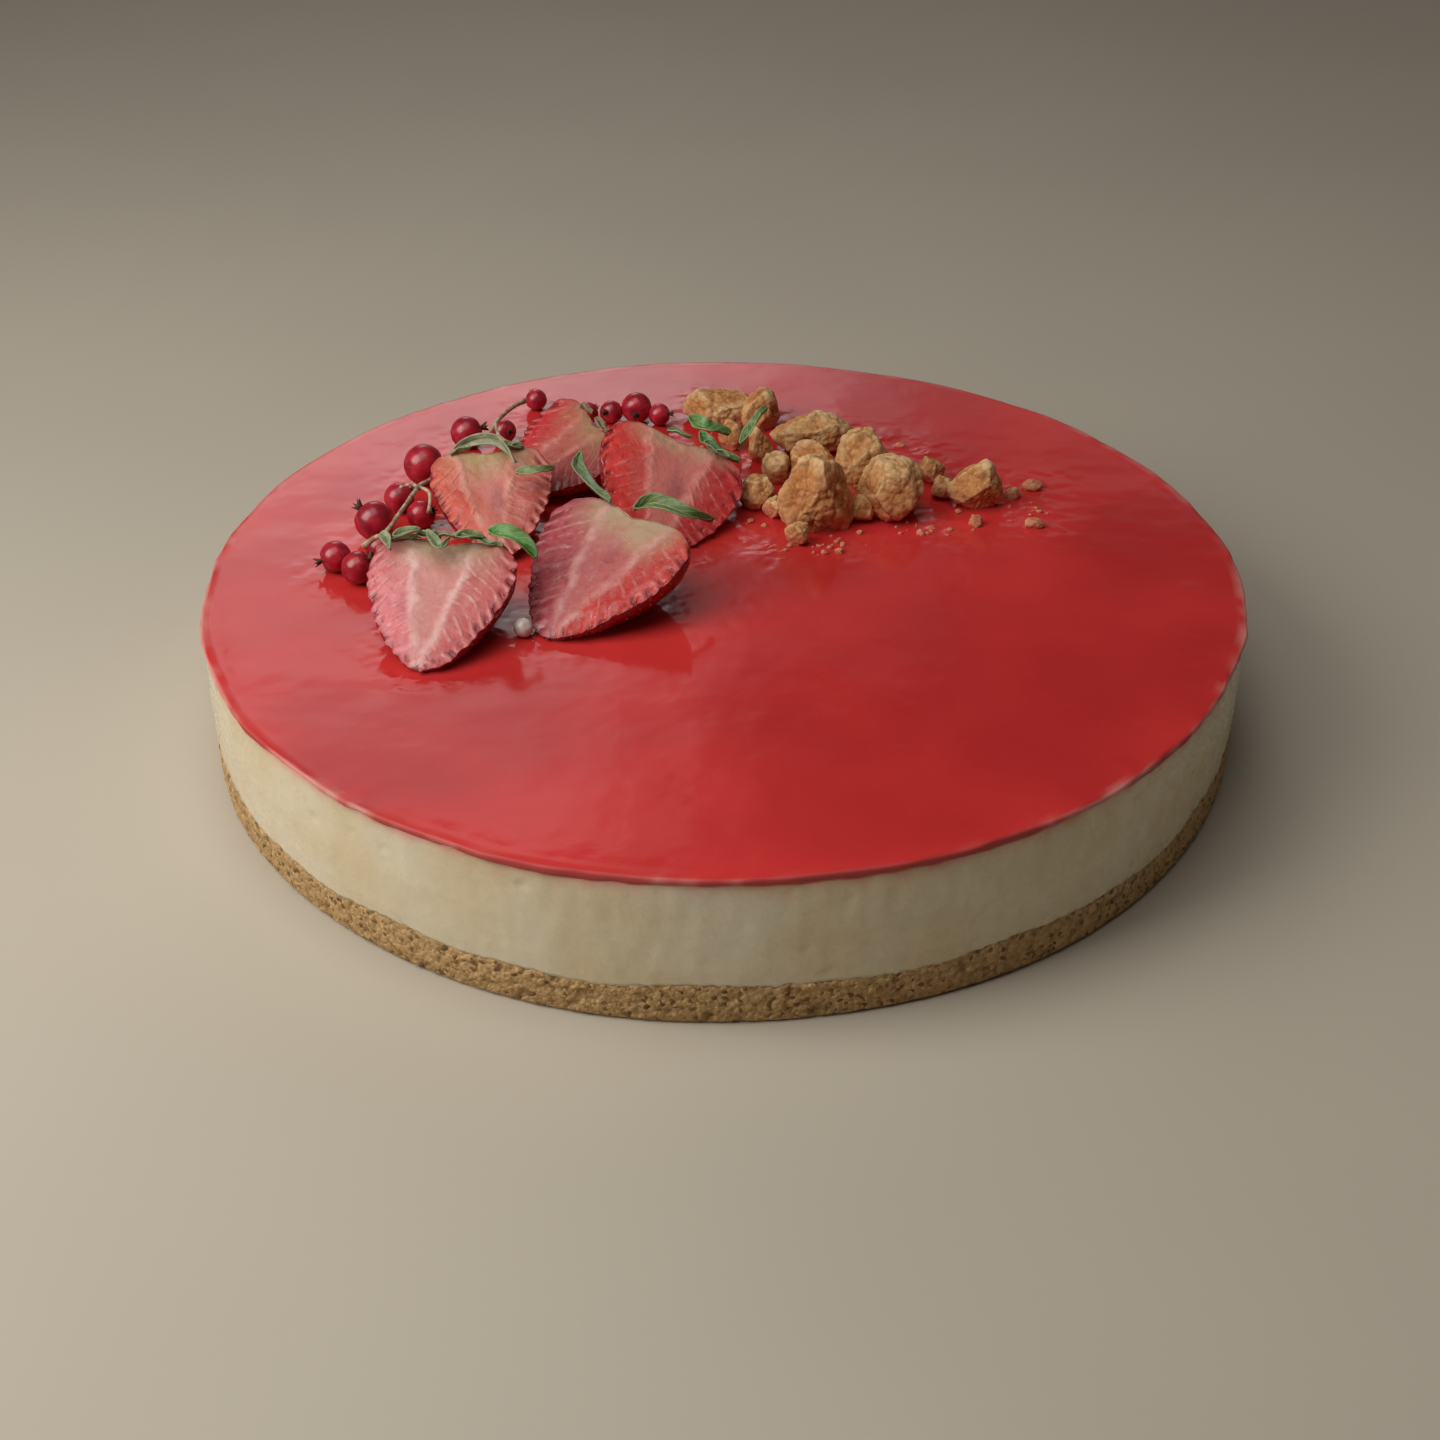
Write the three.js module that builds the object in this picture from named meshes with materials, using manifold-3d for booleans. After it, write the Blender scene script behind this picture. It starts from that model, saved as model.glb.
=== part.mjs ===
// A round chilled cheesecake, 24 cm across: a crumb base, a cream filling and a set strawberry
// glaze, topped off-centre with strawberry halves, redcurrants on their stalks, crumble and
// small green leaves. Millimetres, +Z up. The origin is the centre of the underside, and the
// strawberry tips point towards -Y.
import * as THREE from "three";
import { mergeVertices } from "three/addons/utils/BufferGeometryUtils.js";
import Module from "manifold-3d";

const wasm = await Module();
wasm.setup();

// Layers, from the underside up
const cakeRadius = 120;
const baseTop = 9.2;
const fillingTop = 34.4;
const glazeTop = 36;
const rimRound = 0.9;
const baseCrag = 0.5;
const gap = 0.3;
const ringSides = 96;
const baseSides = 120;

// Toppings lie on this level, a gap above the glaze
const restLevel = glazeTop + gap;
const stalkRadius = 0.6;
const leafThickness = 0.6;
const pearlRadius = 2.2;

// Half-outline of a strawberry from tip to calyx, as shares of its half-width and length
const berryOutline = [
  [0, 0], [0.17, 0.02], [0.36, 0.09], [0.58, 0.22], [0.78, 0.38], [0.92, 0.55],
  [1, 0.7], [0.97, 0.83], [0.84, 0.93], [0.6, 0.98], [0.3, 0.965], [0, 0.93],
];

// Outline of a redcurrant with its dried tuft, as shares of its radius
const currantOutline = [
  [0, -1], [0.5, -0.87], [0.87, -0.5], [1, 0], [0.87, 0.5], [0.5, 0.87], [0.17, 0.98],
  [0.14, 1.28], [0, 1.32],
];

// Strawberry halves: where the tip lies, then the heading, rise and roll of the cut face in degrees
const strawberries = [
  { tip: [-65.4, -46.3, 37.6], turn: [-8, 27, 0], length: 35, width: 34, depth: 13.5 },
  { tip: [-39.8, -32.1, 37.6], turn: [-38, 27, 2], length: 38, width: 37.5, depth: 14 },
  { tip: [-51.5, 3, 38.5], turn: [11, 27, 0], length: 32, width: 29, depth: 13 },
  { tip: [-53, 37, 39], turn: [-64, 28, 14], length: 28, width: 29, depth: 12.5 },
  { tip: [-17.5, 4, 37.8], turn: [-13, 25, 24], length: 37, width: 36, depth: 14.5 },
];

// Redcurrants: x, y, radius, and the heading and rise of the dried tuft in degrees
const currants = [
  [-65.7, 65.9, 4.1, -70, 10], [-74.4, 45.5, 5.1, -80, 0], [-78.9, 30.4, 3.7, -60, 20],
  [-83, 16.4, 4.7, 60, 30], [-80.5, 5.6, 3.3, -30, 20], [-90.2, 0.5, 3.7, 110, -10],
  [-84.1, -5.2, 3.9, -90, 40], [-72.6, 21.8, 3.5, -120, 30], [-49.5, 88.5, 2.8, 20, 20],
  [-35.6, 79.2, 3.1, -40, 10], [-29.2, 80.3, 3, 150, 20], [-22.6, 80.8, 4, 180, 0],
  [-16.5, 78.8, 2.9, -100, 10], [-56.4, 68.6, 3.1, -150, 20],
];

// Crumble lumps: x, y, half-sizes along x, y and z, turn in degrees, narrowing towards the top
const crumble = [
  [23.1, 22.8, 8.2, 7.3, 8.8, 20, 0.35], [41.8, 28.9, 8, 7.2, 7.6, -30, 0.1],
  [35, 41, 6.6, 6.4, 8.4, 50, 0.1], [22, 64.5, 8.6, 7, 4.9, -10, 0.05],
  [22.6, 47.9, 6.1, 5.6, 4.8, 70, 0.1], [62.7, 32.8, 5.8, 5.2, 5.7, 15, 0.05],
  [8.5, 33.9, 5, 4.4, 3.9, -40, 0.1], [-0.6, 81.9, 8.2, 7.3, 4.2, 25, 0.1],
  [9.6, 79.4, 5.8, 5, 4.8, 80, 0.1], [13.6, 46.6, 3.8, 3.5, 4.1, 10, 0.05],
  [2.4, 65.2, 3.5, 3.2, 4.1, 60, 0.1], [9.4, 57.6, 3.5, 3.2, 4.1, -20, 0.1],
  [34, 25.3, 3.8, 3.4, 3.4, 40, 0.1], [51.8, 45.4, 3.4, 3.1, 3.4, 0, 0.1],
  [13, 27.6, 3.2, 2.9, 2.3, 30, 0.1], [18, 13.6, 3, 2.7, 2.8, 75, 0.1],
  [54.2, 36.9, 3.1, 2.8, 2.8, -50, 0.1],
];
const coarseLumps = 9;

// Crumbs fused to the glaze: x, y, radius
const crumbs = [
  [76.8, 41.6, 2.4], [75.2, 21.3, 2.1], [61.2, 22.6, 2.1], [71.6, 36.4, 2.2], [-3.8, 94.4, 2.2],
  [24, 8, 0.9], [27.5, 8.5, 1.1], [33, 18, 0.9], [47.6, 17.6, 1], [50.4, 20.4, 0.9],
  [57.5, 28.8, 0.9], [6.6, 24, 0.9], [10, 22, 0.8], [36, 72, 0.9], [45.5, 66, 0.9], [29, 76, 0.8],
];

// Stalks of the two currant sprigs, each a main stem and its side stems
const stalks = [
  {
    main: [[-82, -6.9, 46.5], [-79.2, -7.6, 49], [-76.4, -8.6, 51], [-74.2, 4, 50.2],
      [-72.2, 19.8, 48.2], [-70.2, 25, 47.2], [-68.6, 33, 46.4]],
    sides: [
      [[-72.2, 19.4, 48.2], [-74.9, 23.2, 47], [-77.4, 25.6, 45]],
      [[-72.1, 19.2, 48.3], [-69.4, 16.4, 48], [-69, 10, 46.4]],
    ],
  },
  {
    main: [[-61, 45, 47.4], [-58, 50.8, 47.6], [-56.8, 59.9, 46.6], [-54.3, 71.9, 44.4],
      [-51.8, 79.4, 42.8]],
    sides: [[[-57.2, 56, 47.2], [-55.6, 48, 48], [-53.2, 43.6, 48.2]]],
  },
];

// Leaves and sepals: points along the midrib, width, and turn of the blade about it in degrees
const leaves = [
  { name: "strawberry_sepal_1", width: 3, turn: 60,
    line: [[-64.6, 33.5, 51], [-62, 32.4, 53.2], [-58, 31.6, 54.8], [-54.2, 30.8, 54.8],
      [-51.1, 28, 53.4], [-49.2, 25.8, 51.4]] },
  { name: "strawberry_sepal_2", width: 2.6, turn: 10,
    line: [[-65.9, -15.8, 55], [-64, -19.6, 54.6], [-62.2, -22, 54], [-60.7, -19, 54.8]] },
  { name: "strawberry_sepal_3", width: 2.6, turn: 20,
    line: [[-76.4, -14.4, 53.4], [-75, -16.8, 53.6], [-73.6, -20.3, 52.6]] },
  { name: "strawberry_sepal_4", width: 2.4, turn: 30,
    line: [[-73.4, -17.6, 54.6], [-70.4, -16.6, 55.4], [-67.2, -16.2, 55.6]] },
  { name: "strawberry_sepal_5", width: 4.6, turn: 25,
    line: [[-20.1, -5.4, 54.6], [-16.5, -4.4, 55.8], [-12.4, -5.9, 55.8], [-7.4, -7.4, 54.2],
      [-2.7, -4.7, 51.2]] },
  { name: "strawberry_sepal_6", width: 2.4, turn: 30,
    line: [[-59.4, -18.6, 55], [-56, -17.4, 55], [-53.2, -17.2, 54]] },
  { name: "leaf_1", width: 5, turn: 10,
    line: [[-52.2, -14.2, 53.4], [-48, -17, 54.4], [-44.4, -18.8, 53.2], [-42.2, -20, 50.2]] },
  { name: "leaf_2", width: 3.8, turn: -15,
    line: [[-34.2, 28.5, 52.4], [-34.6, 21.5, 52], [-31.3, 9.6, 53.4], [-28.1, 1.4, 54.8],
      [-25.6, -3, 55.2]] },
  { name: "leaf_3", width: 3.4, turn: 15,
    line: [[-49, 21.2, 50.6], [-45.7, 19.9, 51.6], [-43.1, 20.4, 51.6], [-40.4, 23, 50.8]] },
  { name: "leaf_4", width: 5, turn: 20,
    line: [[-8, 49.4, 51.4], [-4.8, 44.6, 51.6], [-1.6, 44.6, 50.4], [1.4, 46.4, 48.4]] },
  { name: "leaf_5", width: 4.4, turn: 0,
    line: [[-5.6, 42.6, 50.6], [-3.4, 38.2, 49.6], [0.4, 36.4, 47.4], [4, 36, 46]] },
  { name: "leaf_6", width: 4, turn: -25,
    line: [[4.8, 43.2, 47], [7.4, 48.3, 49.2], [9.6, 54, 50], [11.4, 59, 49.4]] },
];

function standardLook(color, roughness) {
  return new THREE.MeshStandardMaterial({ color, roughness, metalness: 0 });
}

const looks = {
  base: standardLook(0x8c6d45, 0.95),
  filling: standardLook(0xdccfae, 0.55),
  glaze: standardLook(0xb62c2c, 0.08),
  strawberry: standardLook(0xc9524a, 0.35),
  currant: standardLook(0x9a1626, 0.15),
  crumble: standardLook(0xae744a, 0.9),
  stalk: standardLook(0xb5a86a, 0.6),
  leaf: standardLook(0x4f7a36, 0.5),
  pearl: standardLook(0xe8e4dc, 0.3),
};

// Soft noise between -1 and 1 that changes over about "size" millimetres
function swell(point, size, seed) {
  const a = point.x / size + 1.7 * seed;
  const b = point.y / size + 2.3 * seed;
  const c = point.z / size + 3.1 * seed;
  const sum = Math.sin(a + Math.sin(2.1 * b)) + Math.sin(b + Math.sin(1.9 * c))
    + Math.sin(c + Math.sin(2.3 * a));
  return sum / 3;
}

// The geometry with its shared vertices joined, each moved by the rule
function reshape(geometry, rule) {
  geometry.deleteAttribute("normal");
  geometry.deleteAttribute("uv");
  const joined = mergeVertices(geometry, 1e-3);
  const places = joined.getAttribute("position");
  const point = new THREE.Vector3();
  for (let i = 0; i < places.count; i += 1) {
    point.fromBufferAttribute(places, i);
    rule(point);
    places.setXYZ(i, point.x, point.y, point.z);
  }
  joined.computeVertexNormals();
  return joined;
}

function toSolid(geometry, matrix = new THREE.Matrix4()) {
  const bare = geometry.clone().applyMatrix4(matrix);
  bare.deleteAttribute("normal");
  bare.deleteAttribute("uv");
  const joined = mergeVertices(bare, 1e-3);
  return new wasm.Manifold(new wasm.Mesh({
    numProp: 3,
    vertProperties: joined.getAttribute("position").array,
    triVerts: new Uint32Array(joined.index.array),
  }));
}

function toGeometry(solid, matrix = new THREE.Matrix4()) {
  const { vertProperties, triVerts } = solid.getMesh();
  const geometry = new THREE.BufferGeometry();
  geometry.setAttribute("position", new THREE.BufferAttribute(vertProperties, 3));
  geometry.setIndex(new THREE.BufferAttribute(triVerts, 1));
  geometry.applyMatrix4(matrix.clone().invert());
  geometry.computeVertexNormals();
  return geometry;
}

function block(width, depth, height, z) {
  return toSolid(new THREE.BoxGeometry(width, depth, height).translate(0, 0, z));
}

function namedMesh(name, geometry, look) {
  const mesh = new THREE.Mesh(geometry, look);
  mesh.name = name;
  return mesh;
}

// A lathe profile of [radius, height] pairs turned about the vertical axis
function turned(profile, sides) {
  const points = profile.map(([radius, height]) => new THREE.Vector2(radius, height));
  return new THREE.LatheGeometry(points, sides).rotateX(Math.PI / 2);
}

// How far the cake's side stands off a true circle at one angle
function sideWobble(angle) {
  return 0.3 * Math.sin(3 * angle + 0.6) + 0.2 * Math.sin(7 * angle + 2);
}

// How far the glaze hangs below its usual lower edge: most at the front
function glazeLap(angle) {
  const front = Math.max(0, Math.cos(angle + Math.PI / 2));
  return 0.3 + 0.7 * front ** 3 + 0.25 * Math.sin(9 * angle) + 0.15 * Math.sin(17 * angle + 1);
}

// How far the joint between base and filling wanders up or down
function jointWander(angle) {
  return 0.45 * Math.sin(11 * angle) + 0.35 * Math.sin(23 * angle + 1.5);
}

// Moves the outer points of a layer: its radius by one rule and its height by another
function wanderingLayer(profile, sides, radiusRule, heightRule) {
  return reshape(turned(profile, sides), (point) => {
    const radius = Math.hypot(point.x, point.y);
    if (radius < cakeRadius - 8) return;
    const angle = Math.atan2(point.y, point.x);
    const stretch = (radius + radiusRule(angle, point)) / radius;
    point.set(point.x * stretch, point.y * stretch, point.z + heightRule(angle, point));
  });
}

function crumbBase() {
  const profile = [
    [0, 0], [cakeRadius - 1.6, 0], [cakeRadius - 0.4, 1], [cakeRadius, 3.2], [cakeRadius, 5.6],
    [cakeRadius - 0.1, 7.8], [cakeRadius - 0.5, baseTop - gap], [cakeRadius - 5, baseTop - gap],
    [0, baseTop - gap],
  ];
  const crag = (angle, point) => {
    const level = point.z > 0.5 ? 1 : 0.2;
    return sideWobble(angle) - 0.5 + level * baseCrag * swell(point, 1.3, 4);
  };
  const edge = (angle, point) => (point.z > 8.5 ? jointWander(angle) : 0);
  return namedMesh("crumb_base", wanderingLayer(profile, baseSides, crag, edge), looks.base);
}

function creamFilling() {
  const profile = [
    [0, baseTop], [cakeRadius - 5, baseTop], [cakeRadius - 0.5, baseTop],
    [cakeRadius - 0.2, baseTop + 4], [cakeRadius, 22], [cakeRadius - 0.3, fillingTop],
    [cakeRadius - 5, fillingTop], [0, fillingTop],
  ];
  const bulge = (angle, point) => sideWobble(angle) - 0.4 + 0.15 * swell(point, 9, 2);
  const edge = (angle, point) => {
    if (point.z < 12) return jointWander(angle);
    return point.z > 30 ? -glazeLap(angle) : 0;
  };
  return namedMesh("cream_filling", wanderingLayer(profile, ringSides, bulge, edge), looks.filling);
}

// One lump of crumble: a ball stretched to its half-sizes, craggy and narrower towards the top
function lump(halfSizes, narrowing, detail, seed, grow) {
  const [wide, deep, high] = halfSizes.map((half) => half + grow);
  return reshape(new THREE.IcosahedronGeometry(1, detail), (point) => {
    point.multiplyScalar(1 + 0.14 * swell(point, 0.45, seed) + 0.08 * swell(point, 0.2, seed + 5));
    const pinch = 1 - narrowing * Math.max(0, point.z);
    point.set(point.x * pinch * wide, point.y * pinch * deep, point.z * high);
  });
}

function strawberryGlaze() {
  const bottom = fillingTop + gap;
  const profile = [
    [0, bottom], [cakeRadius - 5, bottom], [cakeRadius - 0.2, bottom],
    [cakeRadius, glazeTop - rimRound], [cakeRadius - 0.4, glazeTop - 0.4 * rimRound],
    [cakeRadius - rimRound, glazeTop], [cakeRadius - 6, glazeTop], [0, glazeTop],
  ];
  const bulge = (angle) => sideWobble(angle) - 0.2 + 0.25 * Math.sin(19 * angle);
  const lap = (angle, point) => (point.z < bottom + 0.1 ? -glazeLap(angle) : 0);
  let solid = toSolid(wanderingLayer(profile, ringSides, bulge, lap));
  crumbs.forEach(([x, y, radius], i) => {
    const half = [radius, radius * 0.85, radius * 0.8];
    const crumb = lump(half, 0.1, radius > 2 ? 1 : 0, i, 0);
    crumb.translate(x, y, glazeTop + 0.4 * radius);
    solid = solid.add(toSolid(crumb));
  });
  return namedMesh("strawberry_glaze", toGeometry(solid), looks.glaze);
}

// Half a strawberry: the tip at the origin, the calyx along +Y, the cut face up in the XY plane
function halfStrawberry({ length, width, depth }, seed, grow) {
  const half = width / 2 + grow;
  const long = length + 2 * grow;
  const points = berryOutline.map(([r, y]) => new THREE.Vector2(r * half, y * long - grow));
  const whole = reshape(new THREE.LatheGeometry(points, 28), (point) => {
    const lumpy = 1 + 0.035 * swell(point, 7, seed);
    point.set(point.x * lumpy, point.y, (point.z * lumpy * (depth + grow)) / half);
  });
  const cut = block(4 * width, 4 * length, 2 * width, width + grow);
  return toGeometry(toSolid(whole).subtract(cut));
}

function redcurrant(radius, grow) {
  const size = radius + grow;
  const points = currantOutline.map(([r, y]) => new THREE.Vector2(r * size, y * size));
  return new THREE.LatheGeometry(points, 10);
}

// A round stem along a smooth line through the points
function stem(line, radius) {
  const curve = new THREE.CatmullRomCurve3(line.map((point) => new THREE.Vector3(...point)));
  const section = new THREE.Shape().absarc(0, 0, radius, 0, 2 * Math.PI);
  const steps = 3 * (line.length - 1);
  return new THREE.ExtrudeGeometry(section, { steps, curveSegments: 3, extrudePath: curve });
}

function sprig({ main, sides }, grow) {
  const joined = sides.reduce(
    (solid, side) => solid.add(toSolid(stem(side, 0.75 * stalkRadius + grow))),
    toSolid(stem(main, stalkRadius + grow)),
  );
  return toGeometry(joined).translate(...main[0].map((value) => -value));
}

// A closed blade of even thickness from an open sheet, its two faces split alike
function thickened(sheet, offsets) {
  const top = sheet.getAttribute("position");
  const count = top.count;
  const places = new Float32Array(6 * count);
  for (let i = 0; i < count; i += 1) {
    const point = new THREE.Vector3().fromBufferAttribute(top, i);
    point.clone().add(offsets[i]).toArray(places, 3 * i);
    point.sub(offsets[i]).toArray(places, 3 * (i + count));
  }
  const faces = Array.from(sheet.index.array);
  const edges = new Set();
  const triangles = [...faces];
  for (let i = 0; i < faces.length; i += 3) {
    const [a, b, c] = faces.slice(i, i + 3);
    triangles.push(c + count, b + count, a + count);
    [[a, b], [b, c], [c, a]].forEach(([from, to]) => edges.add(`${from} ${to}`));
  }
  edges.forEach((edge) => {
    const [from, to] = edge.split(" ").map(Number);
    if (edges.has(`${to} ${from}`)) return;
    triangles.push(to, from, from + count, to, from + count, to + count);
  });
  const closed = new THREE.BufferGeometry();
  closed.setAttribute("position", new THREE.BufferAttribute(places, 3));
  closed.setIndex(triangles);
  closed.computeVertexNormals();
  return closed;
}

// A thin wavy leaf, pointed at both ends, folded a little along its midrib
function leaf({ line, width, turn }, grow) {
  const rib = new THREE.CatmullRomCurve3(line.map((point) => new THREE.Vector3(...point)));
  const sheet = new THREE.PlaneGeometry(1, 1, 8, 2);
  const places = sheet.getAttribute("position");
  const offsets = [];
  for (let i = 0; i < places.count; i += 1) {
    const along = places.getX(i) + 0.5;
    const across = 2 * places.getY(i);
    const tangent = rib.getTangentAt(along);
    const side = new THREE.Vector3(0, 0, 1).cross(tangent).normalize();
    side.applyAxisAngle(tangent, THREE.MathUtils.degToRad(turn));
    const normal = tangent.clone().cross(side);
    const half = (0.12 + 0.88 * Math.sin(Math.PI * along) ** 0.8) * (width / 2 + grow);
    const wave = 0.12 * width * Math.abs(across) + 0.1 * width * across * Math.sin(9 * along);
    const point = rib.getPointAt(along).addScaledVector(side, across * half);
    point.addScaledVector(normal, wave).sub(new THREE.Vector3(...line[0]));
    places.setXYZ(i, point.x, point.y, point.z);
    offsets.push(normal.multiplyScalar(leafThickness / 2 + grow));
  }
  return thickened(sheet, offsets);
}

const cake = new THREE.Group();
cake.add(crumbBase(), creamFilling(), strawberryGlaze());

// Toppings are laid down one by one, and each is cut clear of the glaze and of those before it
const toppings = new THREE.Group();
const underside = block(3 * cakeRadius, 3 * cakeRadius, glazeTop, restLevel - glazeTop / 2);
const taken = [];

function lay(name, look, shape, place, turn = [0, 0, 0]) {
  const mesh = namedMesh(name, shape(0), look);
  const [heading, rise, roll] = turn.map(THREE.MathUtils.degToRad);
  mesh.position.set(...place);
  mesh.rotation.set(rise, roll, heading, "ZXY");
  mesh.updateMatrix();
  const solid = taken.reduce(
    (rest, other) => rest.subtract(other),
    toSolid(mesh.geometry, mesh.matrix).subtract(underside),
  );
  const largest = solid.decompose().sort((a, b) => b.volume() - a.volume())[0];
  mesh.geometry = toGeometry(largest, mesh.matrix);
  taken.push(toSolid(shape(gap), mesh.matrix));
  toppings.add(mesh);
}

stalks.forEach((stalk, i) => {
  lay(`currant_stalk_${i + 1}`, looks.stalk, (grow) => sprig(stalk, grow), stalk.main[0]);
});

leaves.forEach((blade) => {
  lay(blade.name, looks.leaf, (grow) => leaf(blade, grow), blade.line[0]);
});

lay("sugar_pearl", looks.pearl, (grow) => new THREE.SphereGeometry(pearlRadius + grow, 12, 8),
  [-44.3, -30, restLevel + pearlRadius - 0.1]);

currants.forEach(([x, y, radius, heading, rise], i) => {
  const place = [x, y, restLevel + radius - 0.2];
  lay(`redcurrant_${i + 1}`, looks.currant, (grow) => redcurrant(radius, grow), place,
    [heading, rise, 0]);
});

crumble.forEach(([x, y, wide, deep, high, heading, narrowing], i) => {
  const detail = i < coarseLumps ? 2 : 1;
  const shape = (grow) => lump([wide, deep, high], narrowing, detail, i + 20, grow);
  lay(`crumble_${i + 1}`, looks.crumble, shape, [x, y, restLevel + 0.85 * high], [heading, 0, 0]);
});

strawberries.forEach((berry, i) => {
  const shape = (grow) => halfStrawberry(berry, i + 1, grow);
  lay(`strawberry_${i + 1}`, looks.strawberry, shape, berry.tip, berry.turn);
});

cake.add(toppings);

export default cake;
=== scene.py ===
import random
from math import atan2, cos, exp, hypot, pi, radians, sin

import bmesh
import bpy
from mathutils import Matrix, Vector, kdtree, noise
from mathutils.bvhtree import BVHTree


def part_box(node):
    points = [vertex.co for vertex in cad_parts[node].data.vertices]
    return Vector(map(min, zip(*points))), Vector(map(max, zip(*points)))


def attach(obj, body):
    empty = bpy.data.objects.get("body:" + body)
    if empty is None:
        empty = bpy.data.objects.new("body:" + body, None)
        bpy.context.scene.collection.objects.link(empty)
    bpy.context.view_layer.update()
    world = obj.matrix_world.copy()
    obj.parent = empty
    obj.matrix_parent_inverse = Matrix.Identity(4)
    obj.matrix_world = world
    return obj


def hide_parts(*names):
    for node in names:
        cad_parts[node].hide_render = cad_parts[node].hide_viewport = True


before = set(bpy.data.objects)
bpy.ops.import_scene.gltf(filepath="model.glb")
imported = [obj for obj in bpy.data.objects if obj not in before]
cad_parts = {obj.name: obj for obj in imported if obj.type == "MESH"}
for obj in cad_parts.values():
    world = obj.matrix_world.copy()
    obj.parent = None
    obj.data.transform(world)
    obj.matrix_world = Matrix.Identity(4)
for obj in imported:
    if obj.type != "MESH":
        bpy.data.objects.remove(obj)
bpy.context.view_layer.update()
print("frame loaded:", len(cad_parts), "nodes")

# Everything is modelled in millimetres and scaled to metres when a piece is finished
mm = 0.001
cake = {"radius": 120, "baseTop": 9.2, "creamBottom": 9.2, "creamTop": 34.4, "glazeTop": 36}
feet = {"points": [], "faces": [], "creep": []}   # faces of the toppings that the glaze creeps up on
sink = 0.1          # how far under the glaze the toppings are cut off
footHeight = 2      # how far above the glaze a topping's faces still count as its foot
samePoint = 0.001   # closer than this, two points are one


def swell(point, size, seed):
    # soft noise between -1 and 1 that changes over about size millimetres
    a, b, c = point.x / size + 1.7 * seed, point.y / size + 2.3 * seed, point.z / size + 3.1 * seed
    return (sin(a + sin(2.1 * b)) + sin(b + sin(1.9 * c)) + sin(c + sin(2.3 * a))) / 3


def rough(point, size, seed=0):
    return noise.noise(point / size + Vector((7.3, 3.1, 5.7)) * seed)


def grains(point, size, seed=0):
    # 1 in the middle of a grain and 0 in the gaps between grains
    near, far = noise.voronoi(point / size + Vector((2.9, 8.1, 4.3)) * seed)[0][:2]
    return min(1, 1.8 * (far - near))


def onLine(points, share):
    # a smooth line through the points
    place = share * (len(points) - 1)
    k = min(int(place), len(points) - 2)
    t = place - k
    p1, p2 = points[k], points[k + 1]
    p0, p3 = points[max(k - 1, 0)], points[min(k + 2, len(points) - 1)]
    return 0.5 * (2 * p1 + (p2 - p0) * t + (2 * p0 - 5 * p1 + 4 * p2 - p3) * t * t
                  + (3 * p1 - p0 - 3 * p2 + p3) * t ** 3)


def lineWay(points, share, reach=0.02):
    # the direction of that line
    return (onLine(points, min(1, share + reach)) - onLine(points, max(0, share - reach))).normalized()


def facing(place, way):
    return Matrix.Translation(place) @ way.to_track_quat("Z", "Y").to_matrix().to_4x4()


def eased(value, low, high):
    # 0 before low and 1 past high, with soft ends; low may be the larger one
    share = min(1, max(0, (value - low) / (high - low)))
    return share * share * (3 - 2 * share)


def smoothed(bm, levels):
    # the same mesh after a Subdivision Surface modifier
    mesh = bpy.data.meshes.new("cage")
    bm.to_mesh(mesh)
    bm.free()
    cage = placed("cage", mesh)
    modifier = cage.modifiers.new("smooth", "SUBSURF")
    modifier.levels = modifier.render_levels = levels
    fine = bmesh.new()
    fine.from_object(cage, bpy.context.evaluated_depsgraph_get())
    bpy.data.objects.remove(cage)
    return fine


def closeHoles(bm):
    bmesh.ops.holes_fill(bm, edges=[edge for edge in bm.edges if edge.is_boundary])


def newLayers(bm, *names):
    return [bm.verts.layers.float.new(name) for name in names]


def placed(name, data):
    made = bpy.data.objects.new(name, data)
    bpy.context.scene.collection.objects.link(made)
    return made


def cutAtGlaze(bm):
    # what would lie inside the glaze is cut off flat, and the cut is closed
    level = cake["glazeTop"] - sink
    everything = bm.verts[:] + bm.edges[:] + bm.faces[:]
    bmesh.ops.bisect_plane(bm, geom=everything, plane_co=(0, 0, level), plane_no=(0, 0, -1),
                           clear_outer=True)
    closeHoles(bm)


def keepFeet(bm, creep):
    for face in bm.faces:
        if min(vert.co.z for vert in face.verts) < cake["glazeTop"] + footHeight:
            first = len(feet["points"])
            feet["points"] += [vert.co.copy() for vert in face.verts]
            feet["faces"].append(range(first, len(feet["points"])))
            feet["creep"].append(creep)


def finished(bm, name, materials, nodes=(), creep=0):
    bmesh.ops.recalc_face_normals(bm, faces=bm.faces)
    for face in bm.faces:
        face.smooth = True
    if creep:
        keepFeet(bm, creep)
    bmesh.ops.scale(bm, vec=(mm, mm, mm), verts=bm.verts)
    mesh = bpy.data.meshes.new(name)
    bm.to_mesh(mesh)
    bm.free()
    for material in materials:
        mesh.materials.append(material)
    piece = placed(name, mesh)
    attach(piece, "root")
    if nodes:
        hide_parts(*nodes)


# Shader helpers
def tone(code):
    # a colour picker's hex code as the linear colour that sockets take
    channels = [int(code[i:i + 2], 16) / 255 for i in (0, 2, 4)]
    return [((c + 0.055) / 1.055) ** 2.4 if c > 0.04 else c / 12.92 for c in channels] + [1]


def fill(tree, made, inputs):
    # a socket is linked, anything else is set as the value
    for key, value in inputs.items():
        if isinstance(value, bpy.types.NodeSocket):
            tree.links.new(value, made.inputs[key])
        else:
            made.inputs[key].default_value = value
    return made


def put(tree, kind, inputs={}, **settings):
    made = tree.nodes.new("ShaderNode" + kind)
    for key, value in settings.items():
        setattr(made, key, value)
    return fill(tree, made, inputs)


def calc(tree, operation, *values):
    return put(tree, "Math", dict(enumerate(values)), operation=operation).outputs[0]


def times(tree, first, second):
    return calc(tree, "MULTIPLY", first, second)


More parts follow.
